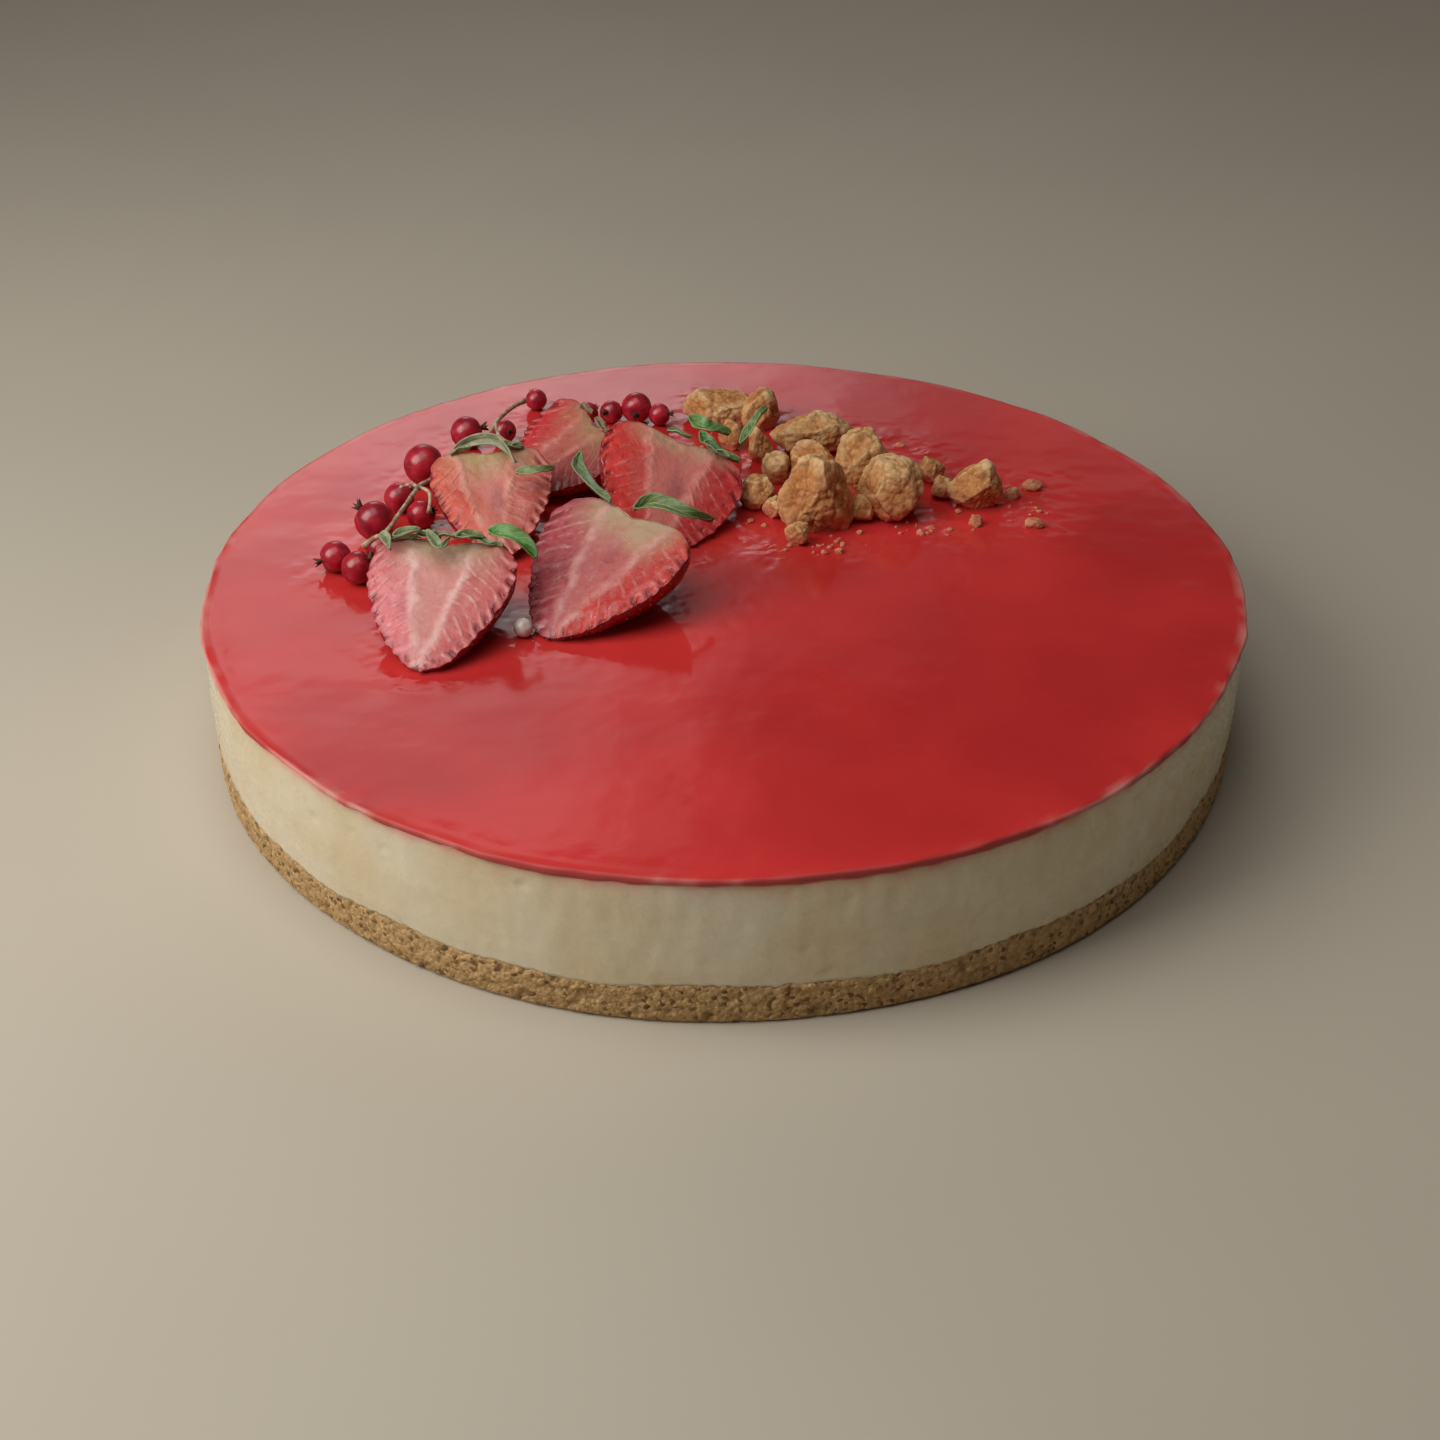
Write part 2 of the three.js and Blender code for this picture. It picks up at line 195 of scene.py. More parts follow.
def plus(tree, first, second):
    return calc(tree, "ADD", first, second)


def minus(tree, first, second):
    return calc(tree, "SUBTRACT", first, second)


def blend(tree, factor, first, second):
    return put(tree, "Mix", {0: factor, 6: first, 7: second}, data_type="RGBA").outputs[2]


def tint(tree, color, code, mask, share=1):
    # the colour goes over to another one by a share of the mask
    return blend(tree, mask if share == 1 else times(tree, mask, share), color, tone(code))


def rise(tree, value, low, high):
    # 0 below low and 1 above high, with soft ends; the other way round where low is above high
    made = put(tree, "MapRange", {"Value": value, "From Min": low, "From Max": high},
               interpolation_type="SMOOTHSTEP")
    return made.outputs[0]


def startGroup(name, inputs, result, kind):
    group = bpy.data.node_groups.new(name, "ShaderNodeTree")
    for socket, form in inputs.items():
        group.interface.new_socket(socket, in_out="INPUT", socket_type="NodeSocket" + form)
    group.interface.new_socket(result, in_out="OUTPUT", socket_type="NodeSocket" + kind)
    given = group.nodes.new("NodeGroupInput").outputs
    return group, given, group.nodes.new("NodeGroupOutput").inputs[result]


def makePatches():
    # soft patches between 0 and 1, Size in millimetres
    inputs = {"Vector": "Vector", "Size": "Float", "Detail": "Float", "Low": "Float", "High": "Float"}
    group, given, result = startGroup("soft patches", inputs, "Value", "Float")
    texture = put(group, "TexNoise", {
        "Vector": given["Vector"], "Scale": calc(group, "DIVIDE", 1 / mm, given["Size"]),
        "Detail": given["Detail"], "Roughness": 0.55})
    group.links.new(rise(group, texture.outputs["Fac"], given["Low"], given["High"]), result)
    return group


def makeGrain():
    # a fine uneven surface, Size and Depth in millimetres
    inputs = {"Vector": "Vector", "Size": "Float", "Depth": "Float", "Normal": "Vector"}
    group, given, result = startGroup("fine grain", inputs, "Normal", "Vector")
    texture = put(group, "TexNoise", {
        "Vector": given["Vector"], "Scale": calc(group, "DIVIDE", 1 / mm, given["Size"]),
        "Detail": 3, "Roughness": 0.6})
    bump = put(group, "Bump", {
        "Height": texture.outputs["Fac"], "Distance": times(group, given["Depth"], mm),
        "Normal": given["Normal"]})
    group.links.new(bump.outputs[0], result)
    return group


patchGroup = makePatches()
grainGroup = makeGrain()


def patches(tree, vector, size, low=0.35, high=0.65, detail=2):
    inputs = {"Vector": vector, "Size": size, "Detail": detail, "Low": low, "High": high}
    made = put(tree, "Group", node_tree=patchGroup)
    return fill(tree, made, inputs).outputs["Value"]


def grain(tree, vector, size, depth, normal=None):
    if normal is None:
        normal = put(tree, "NewGeometry").outputs["Normal"]
    made = put(tree, "Group", node_tree=grainGroup)
    inputs = {"Vector": vector, "Size": size, "Depth": depth, "Normal": normal}
    return fill(tree, made, inputs).outputs["Normal"]


def feed(tree, shader, **sockets):
    fill(tree, shader, {key.replace("_", " "): value for key, value in sockets.items()})


def startMaterial(name, **sockets):
    # a material with a Principled shader, its plain values set, and Object coordinates at hand
    material = bpy.data.materials.new(name)
    material.use_nodes = True
    tree = material.node_tree
    shader = tree.nodes["Principled BSDF"]
    feed(tree, shader, **sockets)
    return material, tree, shader, put(tree, "TexCoord").outputs["Object"]


def twoTone(name, size, colors, fine, depth, **sockets):
    # patches of two colours and a fine grain
    material, tree, shader, where = startMaterial(name, **sockets)
    color = blend(tree, patches(tree, where, size), *map(tone, colors))
    feed(tree, shader, Base_Color=color, Normal=grain(tree, where, fine, depth))
    return material


def attribute(tree, name):
    return put(tree, "Attribute", attribute_name=name).outputs["Fac"]


# Camera at the photograph's angle, worked out for a square frame
camera = {
    "lens": 56.1, "target": (-0.8, 0, -5.5), "distance": 546.5, "elevation": 32.85, "azimuth": 0.1,
    "roll": -0.23,
}


def placeCamera(look):
    data = bpy.data.cameras.new("camera")
    data.lens, data.sensor_width = look["lens"], 36
    data.clip_start, data.clip_end = 0.01, 20
    eye = placed("camera", data)
    turn = Matrix.Rotation(radians(look["azimuth"]), 4, "Z")
    turn @= Matrix.Rotation(radians(90 - look["elevation"]), 4, "X")
    turn @= Matrix.Rotation(radians(look["roll"]), 4, "Z")
    back = turn @ Vector((0, 0, look["distance"]))
    eye.matrix_world = Matrix.Translation((Vector(look["target"]) + back) * mm) @ turn
    bpy.context.scene.camera = eye


placeCamera(camera)


# Light: a large soft key from the left and a weaker one overhead. Direction, distance, size, brightness.
lights = {
    "key": {"azimuth": -157, "elevation": 40, "distance": 0.62, "size": (0.4, 0.4), "glow": 4.7,
            "color": (1, 0.985, 0.95)},
    "overhead": {"azimuth": -140, "elevation": 76, "distance": 0.9, "size": (0.7, 0.7), "glow": 1.7,
                 "color": (1, 0.98, 0.95)},
}
# A far dim backdrop, which only shows as a haze in the glaze. It is brightest at the left and fades to the
# right: rows of upright strips, low to high above the table, with the angles right of straight ahead where
# the fade starts and ends, and the brightness left and right of it.
backdrop = {
    "away": 6, "strip": 2.2, "left": -17, "color": (1, 0.95, 0.96),
    "rows": [
        {"low": 13, "high": 26.6, "fade": (-4.5, 8), "right": 17, "bright": 1.9, "dim": 0.2},
        {"low": 26.6, "high": 32.4, "fade": (-7.5, 2), "right": 7, "bright": 1.4, "dim": 0.1},
        {"low": 32.4, "high": 38, "fade": (-7.5, 1), "right": 1, "bright": 1, "dim": 0.03},
    ],
}


def placeLamp(name, direction, distance, size, glow, color):
    data = bpy.data.lights.new(name, "AREA")
    data.shape = "RECTANGLE"
    data.size, data.size_y = size
    data.energy = glow * pi * data.size * data.size_y
    data.color = color
    lamp = placed(name, data)
    lamp.location = distance * direction
    lamp.rotation_euler = (-direction).to_track_quat("-Z", "Y").to_euler()


def towards(azimuth, elevation):
    turn, height = radians(azimuth), radians(elevation)
    return Vector((cos(turn) * cos(height), sin(turn) * cos(height), sin(height)))


def placeBackdrop(look):
    away = look["away"]
    for row in look["rows"]:
        count = round((row["right"] - look["left"]) / look["strip"])
        strip = (row["right"] - look["left"]) / count
        for i in range(count):
            angle = look["left"] + (i + 0.5) * strip
            glow = row["dim"] + (row["bright"] - row["dim"]) * eased(angle, *reversed(row["fade"]))
            way = towards(90 - angle, (row["low"] + row["high"]) / 2)
            wide = 2 * away * sin(radians(strip) / 2) * hypot(way.x, way.y)
            high = 2 * away * sin(radians(row["high"] - row["low"]) / 2)
            placeLamp("backdrop", way, away, (wide, high), glow, look["color"])


def placeLights(looks):
    for name, look in looks.items():
        placeLamp(name, towards(look["azimuth"], look["elevation"]), look["distance"], look["size"],
                  look["glow"], look["color"])
    world = bpy.data.worlds.new("studio")
    bpy.context.scene.world = world
    world.use_nodes = True
    world.node_tree.nodes["Background"].inputs["Color"].default_value = (1, 0.93, 0.8, 1)
    world.node_tree.nodes["Background"].inputs["Strength"].default_value = 0.05
    bpy.context.scene.view_settings.view_transform = "Standard"


placeLights(lights)
placeBackdrop(backdrop)

floorLook = {"size": 3, "patch": 180, "color": "c3b9a8", "shade": 0.96}


def makeFloor(look):
    material, tree, shader, where = startMaterial("pale floor", Roughness=0.8)
    soft = patches(tree, where, look["patch"])
    pale = tone(look["color"])
    shade = [look["shade"] * c for c in pale[:3]] + [1]
    feed(tree, shader, Base_Color=blend(tree, soft, pale, shade))
    bm = bmesh.new()
    bmesh.ops.create_grid(bm, x_segments=8, y_segments=8, size=look["size"])
    mesh = bpy.data.meshes.new("floor")
    bm.to_mesh(mesh)
    bm.free()
    mesh.materials.append(material)
    floor = placed("floor", mesh)


makeFloor(floorLook)
print("camera, lights and floor placed")


# The three layers. Their outlines wander as the solids' do.
def sideWobble(angle):
    return 0.3 * sin(3 * angle + 0.6) + 0.2 * sin(7 * angle + 2)


def roundNoise(angle, size):
    return noise.noise(Vector((cos(angle), sin(angle), 0)) * cake["radius"] / size)


def glazeLap(angle):
    front = max(0, cos(angle + pi / 2))
    uneven = roundNoise(angle, 5)
    return -0.6 + 0.6 * front ** 3 + 0.18 * sin(9 * angle) + 0.12 * sin(17 * angle + 1) + 0.4 * uneven


def jointHeight(angle):
    # how far the joint of base and cream lies above or below its height
    return 0.45 * sin(11 * angle) + 0.35 * sin(23 * angle + 1.5) + 0.5 * roundNoise(angle, 1.6)


def spunLayer(profile, sides, cuts, spacing):
    # a profile of radius and height, split to the spacing, spun round the axis with a few sides,
    # whose edges are then cut and moved out to the circle
    bm = bmesh.new()
    line = [Vector((profile[0][0], 0, profile[0][1]))]
    for radius, height in profile[1:]:
        first, last = line[-1], Vector((radius, 0, height))
        parts = int((last - first).length / spacing) + 1
        line += [first.lerp(last, (i + 1) / parts) for i in range(parts)]
    points = [bm.verts.new(point) for point in line]
    edges = [bm.edges.new(pair) for pair in zip(points, points[1:])]
    bmesh.ops.spin(bm, geom=points + edges, cent=(0, 0, 0), axis=(0, 0, 1), angle=2 * pi,
                   steps=sides, use_merge=True)
    bmesh.ops.remove_doubles(bm, verts=bm.verts, dist=samePoint)
    rings = []
    for edge in bm.edges:
        one, other = (vert.co for vert in edge.verts)
        apart = hypot(one.x, one.y) - hypot(other.x, other.y)
        if max(abs(one.z - other.z), abs(apart)) < samePoint:
            rings.append(edge)
    bmesh.ops.subdivide_edges(bm, edges=rings, cuts=cuts)
    half = pi / sides
    for vert in bm.verts:
        outwards = cos(atan2(vert.co.y, vert.co.x) % (2 * half) - half) / cos(half)
        vert.co.x *= outwards
        vert.co.y *= outwards
    return bm


def moveSide(vert, inner, outwards, upwards):
    # moves a vertex outside the inner radius outwards and upwards
    radius = hypot(vert.co.x, vert.co.y)
    if radius > inner:
        vert.co.x *= (radius + outwards) / radius
        vert.co.y *= (radius + outwards) / radius
        vert.co.z += upwards


# dark is the colour of dark crumbs and of the painted shade in pits and holes
base = {"sides": 100, "cuts": 12, "spacing": 0.5, "crag": 0.55, "clump": 2.3, "crumb": 0.95,
        "light": "e0ba84", "mid": "bf9762", "dark": "72522e"}


def baseMaterial(look):
    material, tree, shader, where = startMaterial("biscuit crumb", Roughness=0.9)
    cells = put(tree, "TexVoronoi", {"Vector": where, "Scale": 1 / mm / look["crumb"]})
    single = put(tree, "SeparateColor", {"Color": cells.outputs["Color"]}).outputs[0]
    color = blend(tree, rise(tree, single, 0.15, 0.95), tone(look["mid"]), tone(look["light"]))
    color = tint(tree, color, look["dark"], rise(tree, single, 0.22, 0.02))
    color = tint(tree, color, look["mid"], patches(tree, where, 6), 0.35)
    # painted shade in the crumb's pits and holes, in the dark colour
    color = tint(tree, color, look["dark"], attribute(tree, "pitShade"))
    bump = put(tree, "Bump", {"Height": cells.outputs["Distance"], "Distance": 0.3 * mm}, invert=True)
    feed(tree, shader, Base_Color=color, Normal=grain(tree, where, 0.5, 0.25, bump.outputs[0]))
    return material


def makeBase(look):
    radius, top = cake["radius"], cake["baseTop"]
    profile = [(radius - 6, 0), (radius - 1.3, 0), (radius - 0.3, 1), (radius, 3.2), (radius, 5.6),
               (radius, 7.8), (radius - 0.15, top - 0.05), (radius - 4, top - 0.05)]
    bm = spunLayer(profile, look["sides"], look["cuts"], look["spacing"])
    closeHoles(bm)
    pits = {}
    for vert in bm.verts:
        angle = atan2(vert.co.y, vert.co.x)
        low = eased(vert.co.z, 0, 1.4)
        deep = (0.55 * (1 - grains(vert.co, look["clump"], 1)) + 0.4 * (1 - grains(vert.co, look["crumb"], 2))
                + 0.35 * abs(rough(vert.co, 0.7, 3)))
        hole = eased(rough(vert.co, 3.2, 5), 0.25, 0.6)
        inwards = look["crag"] * (deep + 0.8 * hole) * (0.25 + 0.75 * low)
        # the pit mask also darkens the colour there: painted shade in the pits and holes
        pits[vert.index] = min(1, 0.35 * deep * low + 0.6 * hole * low)
        edge = (jointHeight(angle) + 0.7 * rough(vert.co, 1.1, 8)) * eased(vert.co.z, 6, 9)
        moveSide(vert, radius - 5, sideWobble(angle) - 0.15 - inwards, edge)
    bm.verts.index_update()
    layer, = newLayers(bm, "pitShade")
    for vert in bm.verts:
        vert[layer] = 0.6 * pits.get(vert.index, 0)
    finished(bm, "biscuit_base", [baseMaterial(look)], ["crumb_base"])


makeBase(base)
print("base done")

cream = {"sides": 95, "cuts": 7, "spacing": 0.8, "pits": 90, "pitDepth": 0.5, "smear": 0.16, "seed": 4,
         "color": "e5d9be", "warm": "dfcda8", "bleed": "de7a6c"}


def creamMaterial(look):
    material, tree, shader, where = startMaterial(
        "set cream", Subsurface_Weight=0.12, Subsurface_Scale=3 * mm, Subsurface_Radius=(1, 0.75, 0.45),
        Coat_Weight=0.08)
    color = blend(tree, patches(tree, where, 22, 0.3, 0.7), tone(look["color"]), tone(look["warm"]))
    color = tint(tree, color, look["warm"], patches(tree, where, 1.6, 0.55, 0.75), 0.15)
    color = tint(tree, color, look["bleed"], attribute(tree, "bleed"))
    gloss = rise(tree, patches(tree, where, 5), -0.6, 2.2)
    normal = grain(tree, where, 0.9, 0.025, grain(tree, where, 5, 0.1))
    feed(tree, shader, Base_Color=color, Roughness=gloss, Normal=normal)
    return material


def makeCream(look):
    radius, bottom, top = cake["radius"], cake["creamBottom"], cake["creamTop"]
    profile = [(radius - 5, bottom), (radius - 0.5, bottom), (radius - 0.2, bottom + 4), (radius, 22),
               (radius - 0.3, top), (radius - 5, top)]
    bm = spunLayer(profile, look["sides"], look["cuts"], look["spacing"])
    closeHoles(bm)
    chance = random.Random(look["seed"])
    pits = kdtree.KDTree(look["pits"])
    sizes = []
    for i in range(look["pits"]):
        angle, height = chance.uniform(0, 2 * pi), chance.uniform(bottom + 1, top - 2)
        pits.insert((radius * cos(angle), radius * sin(angle), height), i)
        sizes.append(chance.uniform(0.35, 1.1))
    pits.balance()
    layer, = newLayers(bm, "bleed")
    for vert in bm.verts:
        angle = atan2(vert.co.y, vert.co.x)
        out = sideWobble(angle) - 0.25 + 0.15 * swell(vert.co, 9, 2)
        out += look["smear"] * noise.noise(Vector((vert.co.x / 3.2, vert.co.y / 3.2, vert.co.z / 9)))
        out += 0.05 * rough(vert.co, 2.2, 3)
        _, index, away = pits.find(vert.co)
        out -= look["pitDepth"] * sizes[index] * exp(-(away / sizes[index]) ** 2)
        up = jointHeight(angle) * eased(vert.co.z, bottom + 4, bottom)
        up -= glazeLap(angle) * eased(vert.co.z, top - 4, top)
        below = top - glazeLap(angle) - vert.co.z - up
        vert[layer] = 0.95 * exp(-max(0, below) / (0.8 + 1.3 * abs(rough(vert.co, 5, 9))))
        moveSide(vert, radius - 4.5, out, up)
    finished(bm, "cream_layer", [creamMaterial(look)], ["cream_filling"])


makeCream(cream)
print("cream done")


# Strawberry halves. Tip, turn and sizes are those of the solids.
berryOutline = [(0, 0), (0.17, 0.02), (0.36, 0.09), (0.58, 0.22), (0.78, 0.38), (0.92, 0.55), (1, 0.7),
                (0.97, 0.83), (0.84, 0.93), (0.6, 0.98), (0.3, 0.965), (0, 0.93)]
berryLook = {"seedGap": 3.3, "seedSize": (0.42, 0.68, 0.25), "seedLift": 0.05, "seedTurn": 0.4,
             "seedColors": ("c9a25a", "8a5a26"), "dimple": 0.5, "skin": "84121a", "skinLight": "b02428",
             "skinPale": "d8b48a", "hollowShade": "9c5058", "green": 0.62, "weld": 0.02,
             "rings": (0.985, 0.96, 0.93, 0.9, 0.865, 0.83, 0.79, 0.75, 0.7, 0.64, 0.58, 0.5, 0.42, 0.34,
                       0.25, 0.16, 0.08)}
# each half's left and right flank colours carry painted light and shade along with the flesh's own red
berries = {
    1: {"tip": (-65.4, -46.3, 37.6), "turn": (-8, 27, 0), "length": 35, "width": 34, "depth": 13.5,
        "core": "d2857c", "left": "e4787c", "right": "ca5450", "top": "a98f6c",
        "line": "f2c4bc", "rim": "a22034", "shadedDent": "8e2438",
        "spread": 0.44, "lean": 0.06, "cavity": None},
    2: {"tip": (-39.8, -32.1, 37.6), "turn": (-38, 27, 2), "length": 38, "width": 37.5, "depth": 14,
        "core": "bc6460", "left": "b2444e", "right": "ca2c24", "top": "bda684",
        "line": "e0a49c", "rim": "861a2a", "shadedDent": "7a1826",
        "spread": 0.5, "lean": -0.05, "cavity": (0.02, 0.64, 0.14)},
    3: {"tip": (-51.5, 3, 38.5), "turn": (11, 27, 0), "length": 32, "width": 29, "depth": 13,
        "core": "d87868", "left": "e8604a", "right": "c86458", "top": "c2a678",
        "line": "e6a08e", "rim": "b03a30", "shadedDent": "9c3038",
        "spread": 0.5, "lean": 0.08, "cavity": (0.12, 0.52, 0.2)},
    4: {"tip": (-53, 37, 39), "turn": (-64, 28, 14), "length": 28, "width": 29, "depth": 12.5,
        "core": "b45c50", "left": "d22a32", "right": "8a2a2c", "top": "a8805e",
        "line": "d08474", "rim": "86161e", "shadedDent": "7a1622",
        "spread": 0.34, "lean": 0.05, "cavity": None},
    5: {"tip": (-17.5, 4, 37.8), "turn": (-13, 25, 24), "length": 37, "width": 36, "depth": 14.5,
        "core": "d87e74", "left": "ea3c34", "right": "cc2c30", "top": "d6ab8c",
        "line": "ea9a8e", "rim": "a4242a", "green": 0.76, "shadedDent": "86182c",
        "spread": 0.46, "lean": -0.04, "cavity": (0.05, 0.55, 0.2)},
}
# ridges from the core to the edge of the cut
fibres = {"count": 54, "slope": 0.5, "bend": 1.3, "uneven": 1.7}


def placing(place, turn):
    heading, lift, roll = (radians(value) for value in turn)
    return (Matrix.Translation(place) @ Matrix.Rotation(heading, 4, "Z") @ Matrix.Rotation(lift, 4, "X")
            @ Matrix.Rotation(roll, 4, "Y"))


def fibreWave(across, along, number):
    # -1 in the groove and 1 on the ridge of the fibres
    slant = along + fibres["slope"] * abs(across)
    bend = fibres["bend"] * sin(7 * across + 2 * number)
    bend += fibres["uneven"] * sin(11 * along - 4 * across + number)
    return sin(fibres["count"] * slant + bend)


def fleshMaterial(look, number):
    material, tree, shader, where = startMaterial(
        "cut flesh %d" % number, Subsurface_Weight=0.2, Subsurface_Scale=1.5 * mm,
        Subsurface_Radius=(1, 0.3, 0.2), Coat_Weight=0.4, Coat_Roughness=0.12)
    across, along, _ = put(tree, "SeparateXYZ", {0: put(tree, "UVMap", uv_map="cut").outputs[0]}).outputs
    side = calc(tree, "ABSOLUTE", across)
    ring = attribute(tree, "ring")
    # the core narrows from the calyx to the tip between two pale strands
    drift = times(tree, minus(tree, patches(tree, where, 7, 0, 1), 0.5), 0.2)
    middle = plus(tree, plus(tree, across, drift), look["lean"])
    edge = times(tree, calc(tree, "POWER", along, 0.85), look["spread"])
    away = minus(tree, calc(tree, "ABSOLUTE", middle), edge)
    inCore = rise(tree, away, 0.08, -0.08)
    strand = times(tree, rise(tree, calc(tree, "ABSOLUTE", away), 0.11, 0),
                   plus(tree, 0.3, times(tree, patches(tree, where, 4.5), 0.6)))
    # fibres, as in fibreWave
    bend = calc(tree, "SINE", plus(tree, times(tree, across, 7), 2 * number))
    uneven = minus(tree, times(tree, along, 11), times(tree, across, 4))
    uneven = calc(tree, "SINE", plus(tree, uneven, number))
    slant = plus(tree, along, times(tree, side, fibres["slope"]))
    phase = plus(tree, times(tree, slant, fibres["count"]), times(tree, bend, fibres["bend"]))
    wave = calc(tree, "SINE", plus(tree, phase, times(tree, uneven, fibres["uneven"])))
    outside = times(tree, minus(tree, 1, inCore), rise(tree, along, 0.95, 0.8))
    broken = patches(tree, where, 3, 0.4, 0.6)
    fibre = times(tree, times(tree, rise(tree, wave, 0.3, 1), outside), broken)
    # dents along the cut's edge: they sink in the bump, and their dark colour is painted shade
    shadedDent = times(tree, rise(tree, wave, 0.1, -0.8), rise(tree, ring, 0.82, 0.95))
    shadedDent = times(tree, shadedDent, times(tree, outside, patches(tree, where, 3, 0.42, 0.58)))
    # the flank colours hold painted light and shade as well as the flesh's own red
    flank = blend(tree, rise(tree, middle, -0.1, 0.1), tone(look["left"]), tone(look["right"]))
    flank = tint(tree, flank, look["core"], rise(tree, ring, 0.8, 0.4), 0.4)
    flank = tint(tree, flank, look["rim"], patches(tree, where, 4.5), 0.25)
    color = tint(tree, flank, look["core"], inCore, 0.85)
    color = tint(tree, color, look["line"], patches(tree, where, 1.8, 0.4, 0.8), 0.2)
    # painted shade of a hollow in the core, over a shallow dip in the cut
    if look["cavity"]:
        u, v, size = look["cavity"]
        offset = plus(tree, calc(tree, "POWER", minus(tree, middle, u), 2),
                      calc(tree, "POWER", minus(tree, along, v), 2))
        hollowShade = rise(tree, calc(tree, "SQRT", offset), size, 0.2 * size)
        color = tint(tree, color, berryLook["hollowShade"], hollowShade, 0.5)
    start = look.get("green", berryLook["green"])
    calyx = times(tree, rise(tree, plus(tree, along, drift), start, 0.98), rise(tree, side, 1, 0.3))
    color = tint(tree, color, look["top"], calyx)
    color = tint(tree, color, look["line"], fibre, 0.28)
    color = tint(tree, color, look["line"], strand, 0.8)
    color = tint(tree, color, look["shadedDent"], shadedDent, 0.8)
    color = tint(tree, color, look["rim"], rise(tree, ring, 0.95, 1), 0.6)
    height = minus(tree, plus(tree, times(tree, strand, 0.5), times(tree, fibre, 0.35)), shadedDent)
    bump = put(tree, "Bump", {"Height": height, "Distance": 0.4 * mm}).outputs[0]
    feed(tree, shader, Base_Color=color, Roughness=rise(tree, patches(tree, where, 2), -0.8, 1.8),
         Normal=grain(tree, where, 0.9, 0.14, bump))
    return material


def skinMaterial(look):
    material, tree, shader, where = startMaterial(
        "strawberry skin", Roughness=0.28, Subsurface_Weight=0.12, Subsurface_Scale=2 * mm,
        Subsurface_Radius=(1, 0.2, 0.15), Coat_Weight=0.4, Coat_Roughness=0.12)
    color = blend(tree, patches(tree, where, 7), tone(look["skin"]), tone(look["skinLight"]))
    color = tint(tree, color, look["skinPale"], attribute(tree, "calyx"))
    # painted shade in the dimples round the seeds
    color = tint(tree, color, look["skin"], attribute(tree, "pitShade"))
    feed(tree, shader, Base_Color=color, Normal=grain(tree, where, 1.1, 0.1))
    return material


def seedPlaces(berry, gap):
    # rows of seeds round the whole berry, each row set off by half a gap
    half, length = berry["width"] / 2, berry["length"]
    flat = berry["depth"] / half
    places = []
    rows = int(length / (0.8 * gap))
    for row in range(1, rows):
        along = row / rows
        for (r0, a0), (r1, a1) in zip(berryOutline, berryOutline[1:]):
            if a0 <= along < a1:
                radius = half * (r0 + (r1 - r0) * (along - a0) / (a1 - a0))
                count = max(4, int(2 * pi * radius * 0.5 * (1 + flat) / gap))
                for i in range(count):
                    angle = 2 * pi * (i + 0.5 * (row % 2)) / count
                    places.append((radius * cos(angle), along * length, radius * flat * sin(angle)))
    return places


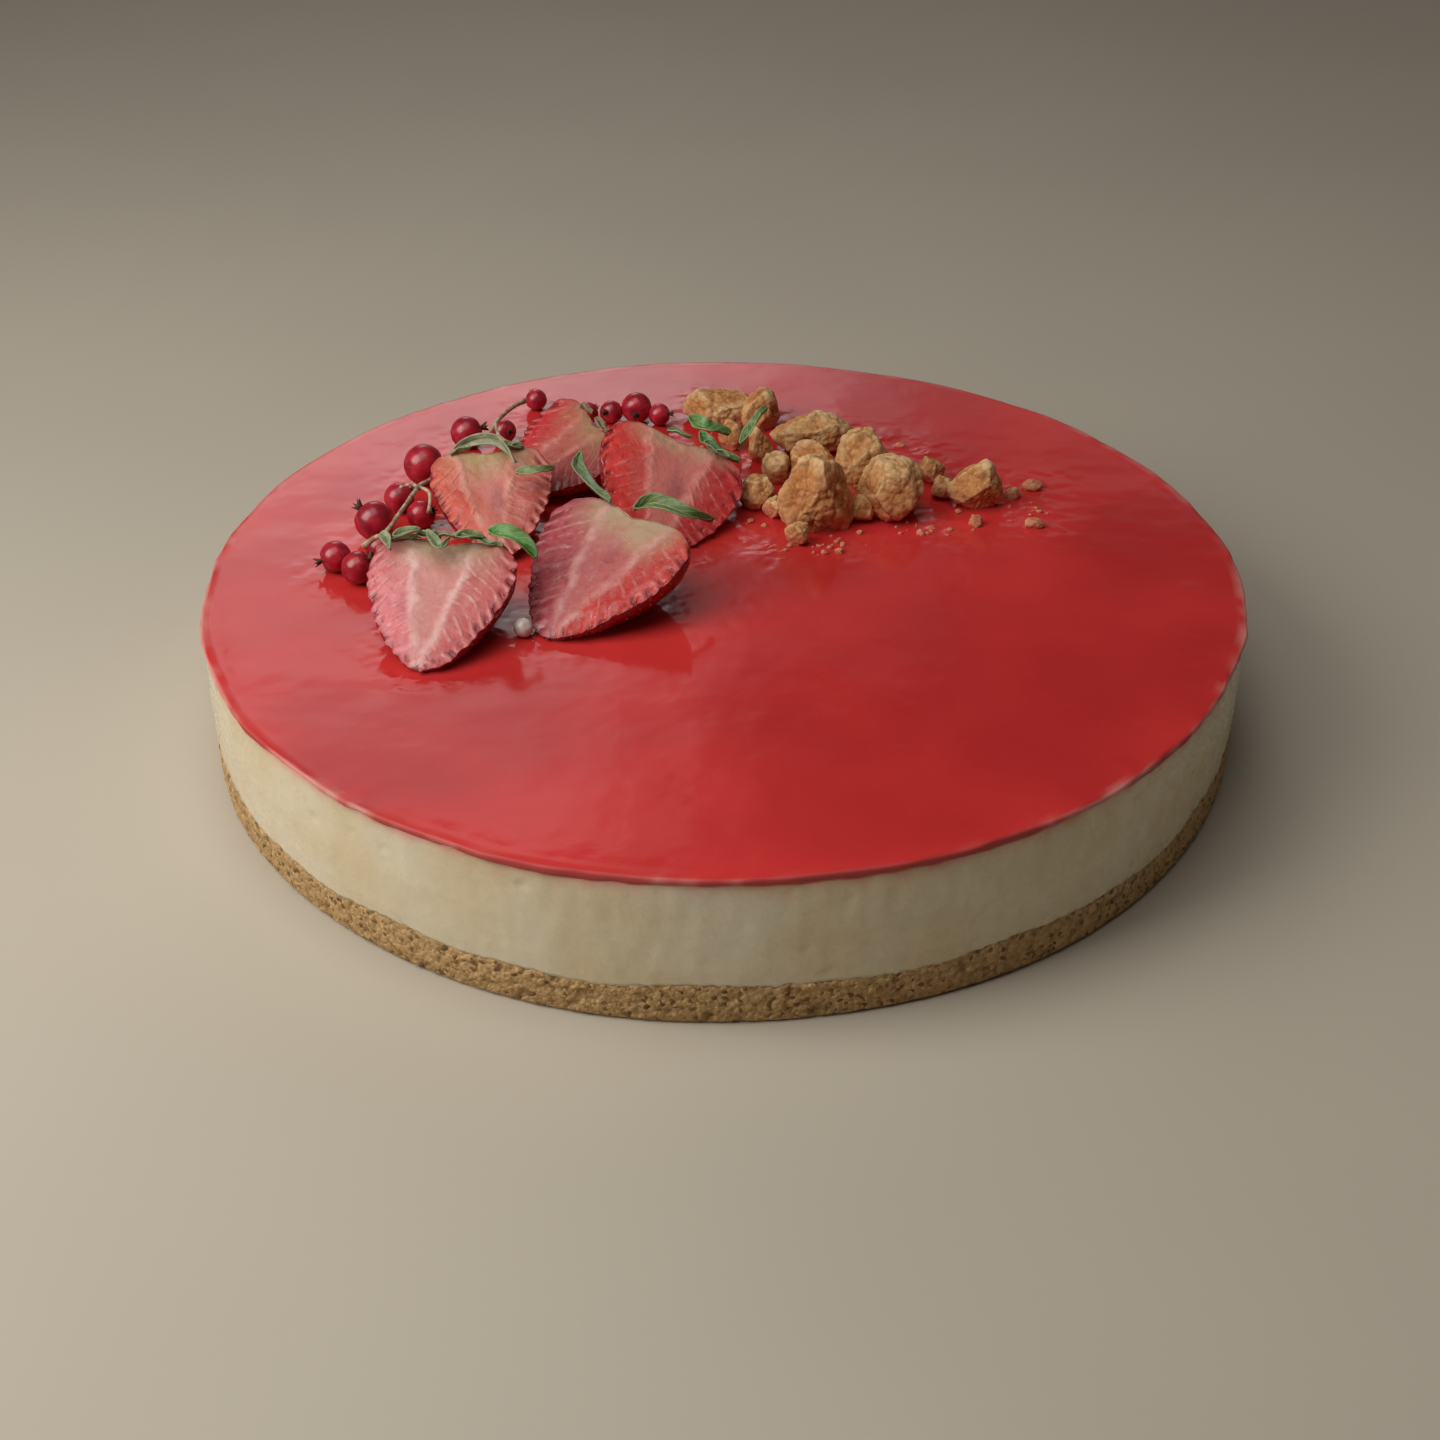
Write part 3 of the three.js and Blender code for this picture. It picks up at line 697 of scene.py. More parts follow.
def makeBerry(number, berry, look, skin, seed):
    half, length, depth = berry["width"] / 2, berry["length"], berry["depth"]
    bm = bmesh.new()
    corners = [Vector((r * half, along * length, 0)) for r, along in berryOutline]
    count = 2 * len(corners) - 1
    points = [bm.verts.new(onLine(corners, i / (count - 1))) for i in range(count)]
    for vert in points[:: count - 1]:
        vert.co.x = 0
    edges = [bm.edges.new(pair) for pair in zip(points, points[1:])]
    bmesh.ops.spin(bm, geom=points + edges, cent=(0, 0, 0), axis=(0, 1, 0), angle=2 * pi, steps=20,
                   use_merge=True)
    bmesh.ops.remove_doubles(bm, verts=bm.verts, dist=samePoint)
    bmesh.ops.recalc_face_normals(bm, faces=bm.faces)
    bm = smoothed(bm, 2)
    places = kdtree.KDTree(1000)
    for i, place in enumerate(seedPlaces(berry, look["seedGap"])):
        places.insert((place[0], place[1], place[2]), i)
    places.balance()
    pits, ring, calyx = newLayers(bm, "pitShade", "ring", "calyx")
    for vert in bm.verts:
        vert[calyx] = 0.9 * eased((vert.co - Vector((0, length, 0))).length / half, 0.62, 0.25)
        lumpy = (1 + 0.035 * swell(vert.co, 7, number)) * 1.015
        vert.co = Vector((vert.co.x * lumpy, vert.co.y, vert.co.z * lumpy * depth / half))
    bm.normal_update()
    moves = []
    for vert in bm.verts:
        away = places.find(vert.co)[2]
        dip = exp(-(away / 0.95) ** 2)
        # the dimple mask darkens the skin there: painted shade
        vert[pits] = 0.8 * dip
        moves.append(vert.normal * (0.12 - look["dimple"] * dip + 0.1 * rough(vert.co, 3, number)))
    for vert, move in zip(bm.verts, moves):
        vert.co += move
    # the cut: the upper half goes, and rings close the face towards the core
    everything = bm.verts[:] + bm.edges[:] + bm.faces[:]
    bmesh.ops.bisect_plane(bm, geom=everything, plane_co=(0, 0, 0), plane_no=(0, 0, 1), clear_outer=True)
    bmesh.ops.remove_doubles(bm, verts=bm.verts, dist=look["weld"])
    rim = [edge for edge in bm.edges if edge.is_boundary]
    for vert in {vert for edge in rim for vert in edge.verts}:
        vert[ring] = 1
    core = Vector((0, 0.6 * length, 0))
    share = 1
    flesh = []
    for step in look["rings"]:
        made = bmesh.ops.extrude_edge_only(bm, edges=rim)["geom"]
        rim = [part for part in made if isinstance(part, bmesh.types.BMEdge) and part.is_boundary]
        flesh += [part for part in made if isinstance(part, bmesh.types.BMFace)]
        verts = [part for part in made if isinstance(part, bmesh.types.BMVert)]
        factor = step / share
        bmesh.ops.scale(bm, vec=(factor, factor, 1), space=Matrix.Translation(-core), verts=verts)
        for vert in verts:
            vert[ring] = step
        share = step
    flesh += bmesh.ops.holes_fill(bm, edges=rim)["faces"]
    for face in flesh:
        face.material_index = 1
    # the cut is never quite flat: it swells, and its edge is pulled a little up or down
    for vert in {vert for face in flesh for vert in face.verts}:
        edge = eased(vert[ring], 0.72, 1)
        wave = fibreWave(vert.co.x / half, vert.co.y / length, number)
        wave *= eased(vert.co.y, length, 0.8 * length)
        vert.co.z += 0.35 * rough(vert.co, 6, number) + 0.1 * rough(vert.co, 1.6, number + 9)
        vert.co.z += edge * (0.15 * wave - 0.3) - 0.25 * exp(-((vert.co - core).length / 5) ** 2)
        pull = 1 + 0.016 * (wave + 1.5 * rough(vert.co, 2.5, number)) * eased(vert[ring], 0.9, 1)
        vert.co.x *= pull
        vert.co.y = core.y + (vert.co.y - core.y) * pull
    uvs = bm.loops.layers.uv.new("cut")
    for face in bm.faces:
        for loop in face.loops:
            loop[uvs].uv = (loop.vert.co.x / half, loop.vert.co.y / length)
    matrix = placing(berry["tip"], berry["turn"])
    bmesh.ops.recalc_face_normals(bm, faces=bm.faces)
    bm.normal_update()
    # seeds sit in the dimples of the skin
    tree = BVHTree.FromBMesh(bm)
    chance = random.Random(number)
    seeds = bmesh.new()
    for place in seedPlaces(berry, look["seedGap"]):
        if place[2] > -0.8:
            continue
        spot, normal = tree.find_nearest(Vector(place))[:2]
        turn = chance.uniform(-look["seedTurn"], look["seedTurn"])
        lie = facing(spot + look["seedLift"] * normal, normal) @ Matrix.Rotation(turn, 4, "Z")
        made = bmesh.ops.create_uvsphere(seeds, u_segments=6, v_segments=4, radius=1)["verts"]
        bmesh.ops.scale(seeds, vec=look["seedSize"], verts=made)
        for vert in made:
            vert.co.x *= 1 - 0.5 * max(0, vert.co.y)
        bmesh.ops.transform(seeds, matrix=lie, verts=made)
    for face in seeds.faces:
        face.material_index = 2
    mesh = bpy.data.meshes.new("seeds")
    seeds.to_mesh(mesh)
    seeds.free()
    bm.from_mesh(mesh)
    bpy.data.meshes.remove(mesh)
    bmesh.ops.transform(bm, matrix=matrix, verts=bm.verts)
    cutAtGlaze(bm)
    finished(bm, "strawberry_half_%d" % number, [skin, fleshMaterial(berry, number), seed],
             ["strawberry_%d" % number], creep=0.9)


skin = skinMaterial(berryLook)
seedSkin = twoTone("strawberry seed", 4, berryLook["seedColors"], 0.3, 0.05, Roughness=0.4)
for number, berry in berries.items():
    makeBerry(number, berry, berryLook, skin, seedSkin)
print("strawberries done")


# Redcurrants: x, y, radius, heading and rise of the dried tuft
currants = [
    (-65.7, 65.9, 4.1, -70, 10), (-74.4, 45.5, 5.1, -80, 0), (-78.9, 30.4, 3.7, -60, 20),
    (-83, 16.4, 4.7, 60, 30), (-80.5, 5.6, 3.3, -30, 20), (-90.2, 0.5, 3.7, 110, -10),
    (-84.1, -5.2, 3.9, -90, 40), (-72.6, 21.8, 3.5, -120, 30), (-49.5, 88.5, 2.8, 20, 20),
    (-35.6, 79.2, 3.1, -40, 10), (-29.2, 80.3, 3, 150, 20), (-22.6, 80.8, 4, 180, 0),
    (-16.5, 78.8, 2.9, -100, 10), (-56.4, 68.6, 3.1, -150, 20),
]
currantLook = {"color": "941428", "bright": "c02638", "line": "b8505a", "tuft": ("3a2418", "6b4a30"),
               "ridges": 12}


def currantMaterial(look):
    material, tree, shader, where = startMaterial(
        "currant skin", Roughness=0.3, Subsurface_Weight=0.55, Subsurface_Scale=2.5 * mm,
        Subsurface_Radius=(1, 0.12, 0.1), Coat_Weight=0.35, Coat_Roughness=0.16)
    angle, height, _ = put(tree, "SeparateXYZ", {0: put(tree, "UVMap", uv_map="berry").outputs[0]}).outputs
    color = blend(tree, patches(tree, where, 3.5), tone(look["color"]), tone(look["bright"]))
    wave = calc(tree, "SINE", times(tree, angle, 2 * pi * look["ridges"]))
    meridian = times(tree, rise(tree, wave, 0.75, 1), rise(tree, height, 0.35, 0.9))
    color = tint(tree, color, look["line"], meridian, 0.5)
    feed(tree, shader, Base_Color=color, Normal=grain(tree, where, 1.5, 0.05))
    return material


def makeCurrant(number, spot, look, skin, dried):
    x, y, radius, heading, lift = spot
    bm = bmesh.new()
    uvs = bm.loops.layers.uv.new("berry")
    bmesh.ops.create_uvsphere(bm, u_segments=28, v_segments=18, radius=radius)
    for face in bm.faces:
        middle = face.calc_center_median()
        for loop in face.loops:
            turn = atan2(loop.vert.co.y, loop.vert.co.x) / (2 * pi)
            if abs(turn - atan2(middle.y, middle.x) / (2 * pi)) > 0.5:
                turn += 1 if turn < 0 else -1
            loop[uvs].uv = (turn, abs(loop.vert.co.z) / radius)
    for vert in bm.verts:
        height = vert.co.z / radius
        angle = atan2(vert.co.y, vert.co.x)
        fold = 1 + 0.012 * cos(look["ridges"] * angle) * (1 - height * height)
        vert.co *= fold * (1 + 0.03 * swell(vert.co, radius, number))
        vert.co.z -= 0.12 * radius * max(0, height) ** 12
    # the dried tuft: a short neck that opens into ragged points
    chance = random.Random(number)
    before = set(bm.faces)
    made = bmesh.ops.create_cone(bm, segments=12, radius1=0.13 * radius, radius2=0.24 * radius,
                                 depth=0.42 * radius, cap_ends=True)["verts"]
    bmesh.ops.translate(bm, vec=(0, 0, 1.08 * radius), verts=made)
    tips = [vert for vert in made if vert.co.z > 1.1 * radius]
    for i, vert in enumerate(tips):
        spread = 1.5 if i % 2 else 0.6
        vert.co.x *= spread * chance.uniform(0.8, 1.2)
        vert.co.y *= spread * chance.uniform(0.8, 1.2)
        vert.co.z += (0.12 if i % 2 else -0.1) * radius * chance.uniform(0.5, 1.3)
    for face in set(bm.faces) - before:
        face.material_index = 1
    bmesh.ops.rotate(bm, cent=(0, 0, 0), matrix=Matrix.Rotation(-pi / 2, 3, "X"), verts=bm.verts)
    place = (x, y, cake["glazeTop"] + 0.1 + radius)
    bmesh.ops.transform(bm, matrix=placing(place, (heading, lift, 0)), verts=bm.verts)
    cutAtGlaze(bm)
    finished(bm, "currant_berry_%d" % number, [skin, dried], ["redcurrant_%d" % number],
             creep=0.5)


currantSkin = currantMaterial(currantLook)
driedTuft = twoTone("dried tuft", 0.8, currantLook["tuft"], 0.4, 0.12, Roughness=0.85)
for number, spot in enumerate(currants, 1):
    makeCurrant(number, spot, currantLook, currantSkin, driedTuft)
print("currants done")


# Crumble lumps fill the boxes of their solids
# light is the colour of pale grains and of the painted highlight on ridges and upper faces; dark is that of
# dark grains and of the painted shade in crevices
crumble = {"count": 17, "large": 9, "chunk": 6.2, "clump": 2.4, "grit": 0.8, "grow": 1.1, "light": "f2d29c",
           "mid": "d2945c", "dark": "86522c", "toast": "ba7640", "glazeStainAndBounce": "da7a68", "facets": 11}
# facets that the photo shows: direction and depth, by lump
crumbleFaces = {
    1: [((-0.55, -0.7, 0.45), 0.66), ((0.85, -0.35, 0.4), 0.6), ((-0.2, 0.9, 0.4), 0.7)],
    2: [((0.1, -0.95, 0.3), 0.78), ((-0.8, -0.3, 0.5), 0.75), ((0.9, 0.2, 0.1), 0.72)],
    3: [((-0.3, -0.8, 0.5), 0.72), ((0.8, 0.2, 0.55), 0.7)],
    4: [((0, -0.5, 0.85), 0.8), ((0.1, -1, 0.1), 0.7)],
}


def crumbleMaterial(look):
    material, tree, shader, where = startMaterial("baked crumble", Roughness=0.8, Specular_IOR_Level=0.25)
    color = blend(tree, patches(tree, where, 4, 0.35, 0.7), tone(look["mid"]), tone(look["toast"]))
    # painted highlight on the ridges, stronger on upper faces
    color = tint(tree, color, look["light"], attribute(tree, "ridgeHighlight"), 0.8)
    color = tint(tree, color, look["light"], patches(tree, where, 0.7, 0.5, 0.75), 0.25)
    color = tint(tree, color, look["dark"], patches(tree, where, 0.9, 0.55, 0.75), 0.15)
    # painted shade in the crevices between chunks
    color = tint(tree, color, look["dark"], attribute(tree, "pitShade"))
    # the crumble is pinker within 5 mm above the glaze: partly jelly soaked into it, partly painted red light
    # thrown up by the glaze
    height = put(tree, "SeparateXYZ", {0: where}).outputs[2]
    level = cake["glazeTop"] * mm
    color = tint(tree, color, look["glazeStainAndBounce"], rise(tree, height, level + 5 * mm, level), 0.65)
    feed(tree, shader, Base_Color=color, Normal=grain(tree, where, 0.3, 0.08, grain(tree, where, 0.9, 0.22)))
    return material


def addLump(bm, place, half, seed, look, levels, layers):
    # one craggy lump: a ball stretched to its half sizes, folded, clumped and gritty
    made = bmesh.ops.create_icosphere(bm, subdivisions=levels, radius=1)["verts"]
    pits, ridges = layers
    size = Vector(half)
    small = min(half)
    chance = random.Random(seed)
    faces = [(Vector(way).normalized(), depth) for way, depth in crumbleFaces.get(seed, [])]
    for _ in range(look["facets"]):
        way = Vector((chance.gauss(0, 1), chance.gauss(0, 1), chance.gauss(0, 1))).normalized()
        faces.append((way, chance.uniform(0.62, 0.92) - (0.1 if small < 3.5 else 0)))
    for vert in made:
        out = vert.co.normalized()
        spot = Vector((out.x * size.x, out.y * size.y, out.z * size.z))
        bent = spot + 0.8 * Vector([rough(spot, 2.5, seed + i) for i in (1, 2, 4)])
        chunk = bent / min(look["chunk"], 1.2 * small)
        near, far = noise.voronoi(chunk + Vector((2.9, 8.1, 4.3)) * seed)[0][:2]
        bits = noise.voronoi(bent / min(look["clump"], 0.5 * small) + Vector((1.7, 3.3, 9.1)) * seed)[0]
        grit = rough(spot, look["grit"], seed + 5) + 0.5 * rough(spot, 0.4 * look["grit"], seed + 6)
        cuts = sorted(depth / max(0.05, out.dot(way)) for way, depth in faces)
        stretch = 0.35 + 0.75 * min(cuts[0], 1 + 0.2 * swell(out, 0.5, seed))
        stretch -= 0.12 * near * near + 0.1 * bits[0] * bits[0]
        stretch += 0.13 * grit / max(1.5, small)
        vert.co = spot * stretch * look["grow"]
        # the ridge mask is painted highlight on sharp ridges and bulges, stronger facing up
        sharp = eased(cuts[1] - cuts[0], 0.1, 0) * eased(cuts[0], 1.1, 0.9)
        vert[ridges] = max(0.8 * sharp, eased(stretch, 0.85, 1.1)) * (0.45 + 0.55 * out.z)
        # the gap mask is painted shade in the crevices
        gap = eased(far - near, 0.12, 0) * eased(near, 0.3, 0.7) + 0.6 * eased(bits[1] - bits[0], 0.15, 0)
        vert[pits] = min(0.7, 0.5 * gap + 0.25 * eased(grit, 0, -0.8))
    bmesh.ops.translate(bm, vec=place, verts=made)


def makeCrumble(look, material):
    for number in range(1, look["count"] + 1):
        low, high = (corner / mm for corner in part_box("crumble_%d" % number))
        bm = bmesh.new()
        layers = newLayers(bm, "pitShade", "ridgeHighlight")
        levels = 6 if number <= look["large"] else 5
        middle, half = (low + high) / 2, (high - low) / 2
        tall = high.z - cake["glazeTop"]
        middle.z, half.z = high.z - 0.95 * tall / 1.7, tall / 1.8
        addLump(bm, middle, half, number, look, levels, layers)
        cutAtGlaze(bm)
        finished(bm, "crumble_lump_%d" % number, [material], ["crumble_%d" % number], creep=0.25)


crumbleSkin = crumbleMaterial(crumble)
makeCrumble(crumble, crumbleSkin)

# Crumbs on the glaze: x, y and radius of those fused to its solid, and patches strewn with tiny ones
crumbs = {
    "fused": [(76.8, 41.6, 2.4), (75.2, 21.3, 2.1), (61.2, 22.6, 2.1), (71.6, 36.4, 2.2), (-3.8, 94.4, 2.2),
              (24, 8, 0.9), (27.5, 8.5, 1.1), (33, 18, 0.9), (47.6, 17.6, 1), (50.4, 20.4, 0.9),
              (57.5, 28.8, 0.9), (6.6, 24, 0.9), (10, 22, 0.8), (36, 72, 0.9), (45.5, 66, 0.9),
               (29, 76, 0.8)],
    "strewn": [(22, 12, 12, 4, 26), (48, 20, 10, 3, 14), (72, 30, 8, 9, 16), (0, 60, 14, 16, 14),
               (40, 60, 16, 10, 12), (30, 34, 18, 12, 16)],
    "seed": 5,
}


def makeCrumbs(look, material):
    bm = bmesh.new()
    layers = newLayers(bm, "pitShade", "ridgeHighlight")
    chance = random.Random(look["seed"])
    for number, (x, y, radius) in enumerate(look["fused"], 30):
        half = (radius, 0.85 * radius, 0.8 * radius)
        addLump(bm, (x, y, cake["glazeTop"] + 0.3 * radius), half, number, crumble, 4, layers)
    for x, y, wide, deep, count in look["strewn"]:
        for i in range(count):
            radius = 0.25 + 0.55 * chance.random() ** 2
            place = (x + wide * chance.gauss(0, 0.5), y + deep * chance.gauss(0, 0.5),
                     cake["glazeTop"] + 0.3 * radius)
            half = (radius, radius * chance.uniform(0.6, 1), radius * chance.uniform(0.5, 0.9))
            addLump(bm, place, half, i, crumble, 2, layers)
    cutAtGlaze(bm)
    finished(bm, "loose_crumbs", [material], creep=0.12)


makeCrumbs(crumbs, crumbleSkin)
print("crumble done")


# Leaves and sepals: points along the midrib, width and turn of the blade, as the solids have them
leafLines = {
    "strawberry_sepal_1": {"width": 3, "turn": 60, "color": "a9a886", "line": [
        (-64.6, 33.5, 51), (-62, 32.4, 53.2), (-58, 31.6, 54.8), (-54.2, 30.8, 54.8), (-51.1, 28, 53.4),
        (-49.2, 25.8, 51.4)]},
    "strawberry_sepal_2": {"width": 2.6, "turn": 10, "color": "8f9c72", "line": [
        (-65.9, -15.8, 55), (-64, -19.6, 54.6), (-62.2, -22, 54), (-60.7, -19, 54.8)]},
    "strawberry_sepal_3": {"width": 2.6, "turn": 20, "color": "a3aa84", "line": [
        (-76.4, -14.4, 53.4), (-75, -16.8, 53.6), (-73.6, -20.3, 52.6)]},
    "strawberry_sepal_4": {"width": 2.4, "turn": 30, "color": "8f9a70", "line": [
        (-73.4, -17.6, 54.6), (-70.4, -16.6, 55.4), (-67.2, -16.2, 55.6)]},
    "strawberry_sepal_5": {"width": 4.6, "turn": 25, "color": "6e8448", "line": [
        (-20.1, -5.4, 54.6), (-16.5, -4.4, 55.8), (-12.4, -5.9, 55.8), (-7.4, -7.4, 54.2),
         (-2.7, -4.7, 51.2)]},
    "strawberry_sepal_6": {"width": 2.4, "turn": 30, "color": "93a06c", "line": [
        (-59.4, -18.6, 55), (-56, -17.4, 55), (-53.2, -17.2, 54)]},
    "leaf_1": {"width": 5, "turn": 10, "color": "4f8f2c", "line": [
        (-52.2, -14.2, 53.4), (-48, -17, 54.4), (-44.4, -18.8, 53.2), (-42.2, -20, 50.2)]},
    "leaf_2": {"width": 3.8, "turn": -15, "color": "6f8a5a", "line": [
        (-34.2, 28.5, 52.4), (-34.6, 21.5, 52), (-31.3, 9.6, 53.4), (-28.1, 1.4, 54.8), (-25.6, -3, 55.2)]},
    "leaf_3": {"width": 3.4, "turn": 15, "color": "8f9c62", "line": [
        (-49, 21.2, 50.6), (-45.7, 19.9, 51.6), (-43.1, 20.4, 51.6), (-40.4, 23, 50.8)]},
    "leaf_4": {"width": 5, "turn": 20, "color": "6f9a50", "teeth": 4, "line": [
        (-8, 49.4, 51.4), (-4.8, 44.6, 51.6), (-1.6, 44.6, 50.4), (1.4, 46.4, 48.4)]},
    "leaf_5": {"width": 4.4, "turn": 0, "color": "5c8a3a", "teeth": 4, "line": [
        (-5.6, 42.6, 50.6), (-3.4, 38.2, 49.6), (0.4, 36.4, 47.4), (4, 36, 46)]},
    "leaf_6": {"width": 4, "turn": -25, "color": "7e9c5c", "teeth": 4, "line": [
        (4.8, 43.2, 47), (7.4, 48.3, 49.2), (9.6, 54, 50), (11.4, 59, 49.4)]},
}
leafLook = {"thickness": 0.3, "veins": 7, "pale": "d2d6a8", "dark": "2c4a1c"}


def leafMaterial(name, color, look):
    material, tree, shader, where = startMaterial(name + " green", Roughness=0.45, Coat_Weight=0.15)
    along, across, _ = put(tree, "SeparateXYZ", {0: put(tree, "UVMap", uv_map="blade").outputs[0]}).outputs
    side = calc(tree, "ABSOLUTE", minus(tree, across, 0.5))
    body = blend(tree, patches(tree, where, 2.5), tone(color), tone(look["dark"]))
    body = blend(tree, 0.55, body, tone(color))
    slant = minus(tree, along, times(tree, side, 0.5))
    wave = calc(tree, "SINE", times(tree, slant, 2 * pi * look["veins"]))
    vein = times(tree, rise(tree, wave, 0.7, 1), 0.3)
    vein = calc(tree, "MAXIMUM", vein, times(tree, rise(tree, side, 0.07, 0.02), 0.45))
    rim = times(tree, rise(tree, side, 0.42, 0.5), 0.25)
    bump = put(tree, "Bump", {"Height": vein, "Distance": 0.2 * mm}).outputs[0]
    feed(tree, shader, Base_Color=tint(tree, body, look["pale"], calc(tree, "MAXIMUM", vein, rim)),
         Normal=grain(tree, where, 0.6, 0.06, bump))
    return material


def addBlade(bm, points, width, turn, teeth, look, segments):
    # one leaf blade bent along its midrib, folded and waved, with its thickness
    flat = bmesh.ops.create_grid(bm, x_segments=segments, y_segments=10, size=0.5, calc_uvs=True)["verts"]
    for vert in flat:
        along, across = vert.co.x + 0.5, 2 * vert.co.y
        tangent = lineWay(points, along)
        side = Matrix.Rotation(radians(turn), 3, tangent) @ Vector((0, 0, 1)).cross(tangent).normalized()
        normal = tangent.cross(side)
        half = (0.05 + 0.95 * max(0, sin(pi * along ** 0.85)) ** 1.1) * width / 2
        half *= 1 - 0.16 * abs(sin(teeth * pi * along)) * abs(across)
        wave = 0.28 * width * abs(across) + 0.1 * width * across * sin(9 * along)
        wave -= 0.15 * exp(-(across / 0.15) ** 2)
        vert.co = onLine(points, along) + side * across * half + normal * wave
        vert.co += normal * 0.12 * rough(vert.co, 1.5, 2)
    faces = list({face for vert in flat for face in vert.link_faces})
    made = bmesh.ops.extrude_face_region(bm, geom=faces, use_keep_orig=True)["geom"]
    bm.normal_update()
    for vert in made:
        if isinstance(vert, bmesh.types.BMVert):
            vert.co += vert.normal * look["thickness"]


def makeLeaf(name, blade, look):
    bm = bmesh.new()
    bm.loops.layers.uv.new("blade")
    points = [Vector(point) for point in blade["line"]]
    addBlade(bm, points, blade["width"], blade["turn"], blade.get("teeth", 0), look, 30)
    kind = "berry_sepal_" if "sepal" in name else "small_leaf_"
    finished(bm, kind + name[-1], [leafMaterial(name, blade["color"], look)], [name])


for name, blade in leafLines.items():
    makeLeaf(name, blade, leafLook)

# Small dried leaflets left on the calyx ends: start across the cut, way round the edge, length, width, lift
collars = {
    1: {"color": "8a9468", "leaflets": [(-0.75, 1, 7, 2.6, 0.5), (-0.5, 1, 6, 2.4, 1.6),
                                        (-0.2, 1, 6.5, 2.2, 0.9),
                                        (0.1, 1, 6, 2, 1.9), (0.3, 1, 6, 2.2, 0.6), (0.75, -1, 5, 2, 1.2),
                                        (-0.1, -1, 6, 2.4, 0.4)]},
    3: {"color": "9aa070", "leaflets": [(-0.6, 1, 5, 2, 0.8), (0.2, 1, 6, 2.2, 0.6), (0.6, -1, 5, 2, 1.2)]},
    4: {"color": "8a6a48", "leaflets": [(-0.5, 1, 6, 2.4, 1.8), (0, 1, 6, 2.2, 1), (0.5, -1, 5.5, 2.2, 2)]},
    5: {"color": "86a878", "leaflets": [(-0.2, 1, 6, 2.2, 0.6), (0.3, 1, 7, 2.4, 1), (0.7, -1, 6, 2.2, 1.4)]},
}


def makeCollar(number, collar, look):
    berry = berries[number]
    bm = bmesh.new()
    bm.loops.layers.uv.new("blade")
    matrix = placing(berry["tip"], berry["turn"])
    for start, way, length, width, lift in collar["leaflets"]:
        line = []
        for step in range(4):
            across = start + way * step * length / 3 / (berry["width"] / 2)
            along = 0.975 - 0.1 * abs(across) ** 2.5 + 0.012 * (step % 2)
            height = lift * (0.4 + 0.6 * sin(1.3 * step + 3 * start)) + 0.2
            line.append(matrix @ Vector((across * berry["width"] / 2, along * berry["length"], height)))
        addBlade(bm, line, width, 50 * start, 0, look, 14)
    material = leafMaterial("collar %d" % number, collar["color"], look)
    finished(bm, "berry_collar_%d" % number, [material])


for number, collar in collars.items():
    makeCollar(number, collar, leafLook)
print("leaves done")


# Stalks of the currant sprigs
sprigs = {
    1: [[(-82, -6.9, 46.5), (-79.2, -7.6, 49), (-76.4, -8.6, 51), (-74.2, 4, 50.2), (-72.2, 19.8, 48.2),
         (-70.2, 25, 47.2), (-68.6, 33, 46.4)],
        [(-72.2, 19.4, 48.2), (-74.9, 23.2, 47), (-77.4, 25.6, 45)],
        [(-72.1, 19.2, 48.3), (-69.4, 16.4, 48), (-69, 10, 46.4)]],
    2: [[(-61, 45, 47.4), (-58, 50.8, 47.6), (-56.8, 59.9, 46.6), (-54.3, 71.9, 44.4), (-51.8, 79.4, 42.8)],
        [(-57.2, 56, 47.2), (-55.6, 48, 48), (-53.2, 43.6, 48.2)]],
}
sprigLook = {"radius": 0.55, "sides": 10, "colors": ("d2b89a", "96725a")}


def makeSprig(number, lines, look, material):
    bm = bmesh.new()
    for index, line in enumerate(lines):
        points = [Vector(point) for point in line]
        steps = 8 * (len(points) - 1)
        thick = look["radius"] * (0.75 if index else 1)
        rim = None
        for step in range(steps + 1):
            share = step / steps
            place = onLine(points, share)
            knot = 1 + 0.12 * noise.noise(place / 2)
            knot += 0.5 * exp(-(share * 9) ** 2)
            knot += 0.4 * exp(-((1 - share) * 12) ** 2)
            lie = facing(place, lineWay(points, share))
            ring = bmesh.ops.create_circle(bm, cap_ends=False, segments=look["sides"], radius=thick * knot,
                                           matrix=lie)["verts"]
            edges = list({edge for vert in ring for edge in vert.link_edges})
            if rim:
                bmesh.ops.bridge_loops(bm, edges=rim + edges)
            rim = edges
    closeHoles(bm)
    finished(bm, "stalk_sprig_%d" % number, [material], ["currant_stalk_%d" % number])


stalkSkin = twoTone("dry stalk", 2, sprigLook["colors"], 0.5, 0.1, Roughness=0.6)
for number, lines in sprigs.items():
    makeSprig(number, lines, sprigLook, stalkSkin)
print("stalks done")

pearl = {"color": "e6ded6", "tint": "c98c88", "radius": 2.2}


def makePearl(look):
    material, tree, shader, where = startMaterial("sugar pearl", Roughness=0.3, Coat_Weight=0.3)
    color = blend(tree, patches(tree, where, 1.6), tone(look["color"]), tone(look["tint"]))
    feed(tree, shader, Base_Color=blend(tree, 0.6, color, tone(look["color"])),
         Normal=grain(tree, where, 0.5, 0.08))
    low, high = (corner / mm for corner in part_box("sugar_pearl"))
    bm = bmesh.new()
    bmesh.ops.create_uvsphere(bm, u_segments=28, v_segments=18, radius=look["radius"])
    for vert in bm.verts:
        vert.co *= 1 + 0.035 * rough(vert.co, 1.4, 2) - 0.06 * eased(rough(vert.co, 1.1, 6), 0.2, 0.5)
    bmesh.ops.translate(bm, vec=(low + high) / 2, verts=bm.verts)
    cutAtGlaze(bm)
    finished(bm, "pearl_sugar", [material], ["sugar_pearl"], creep=0.5)


makePearl(pearl)

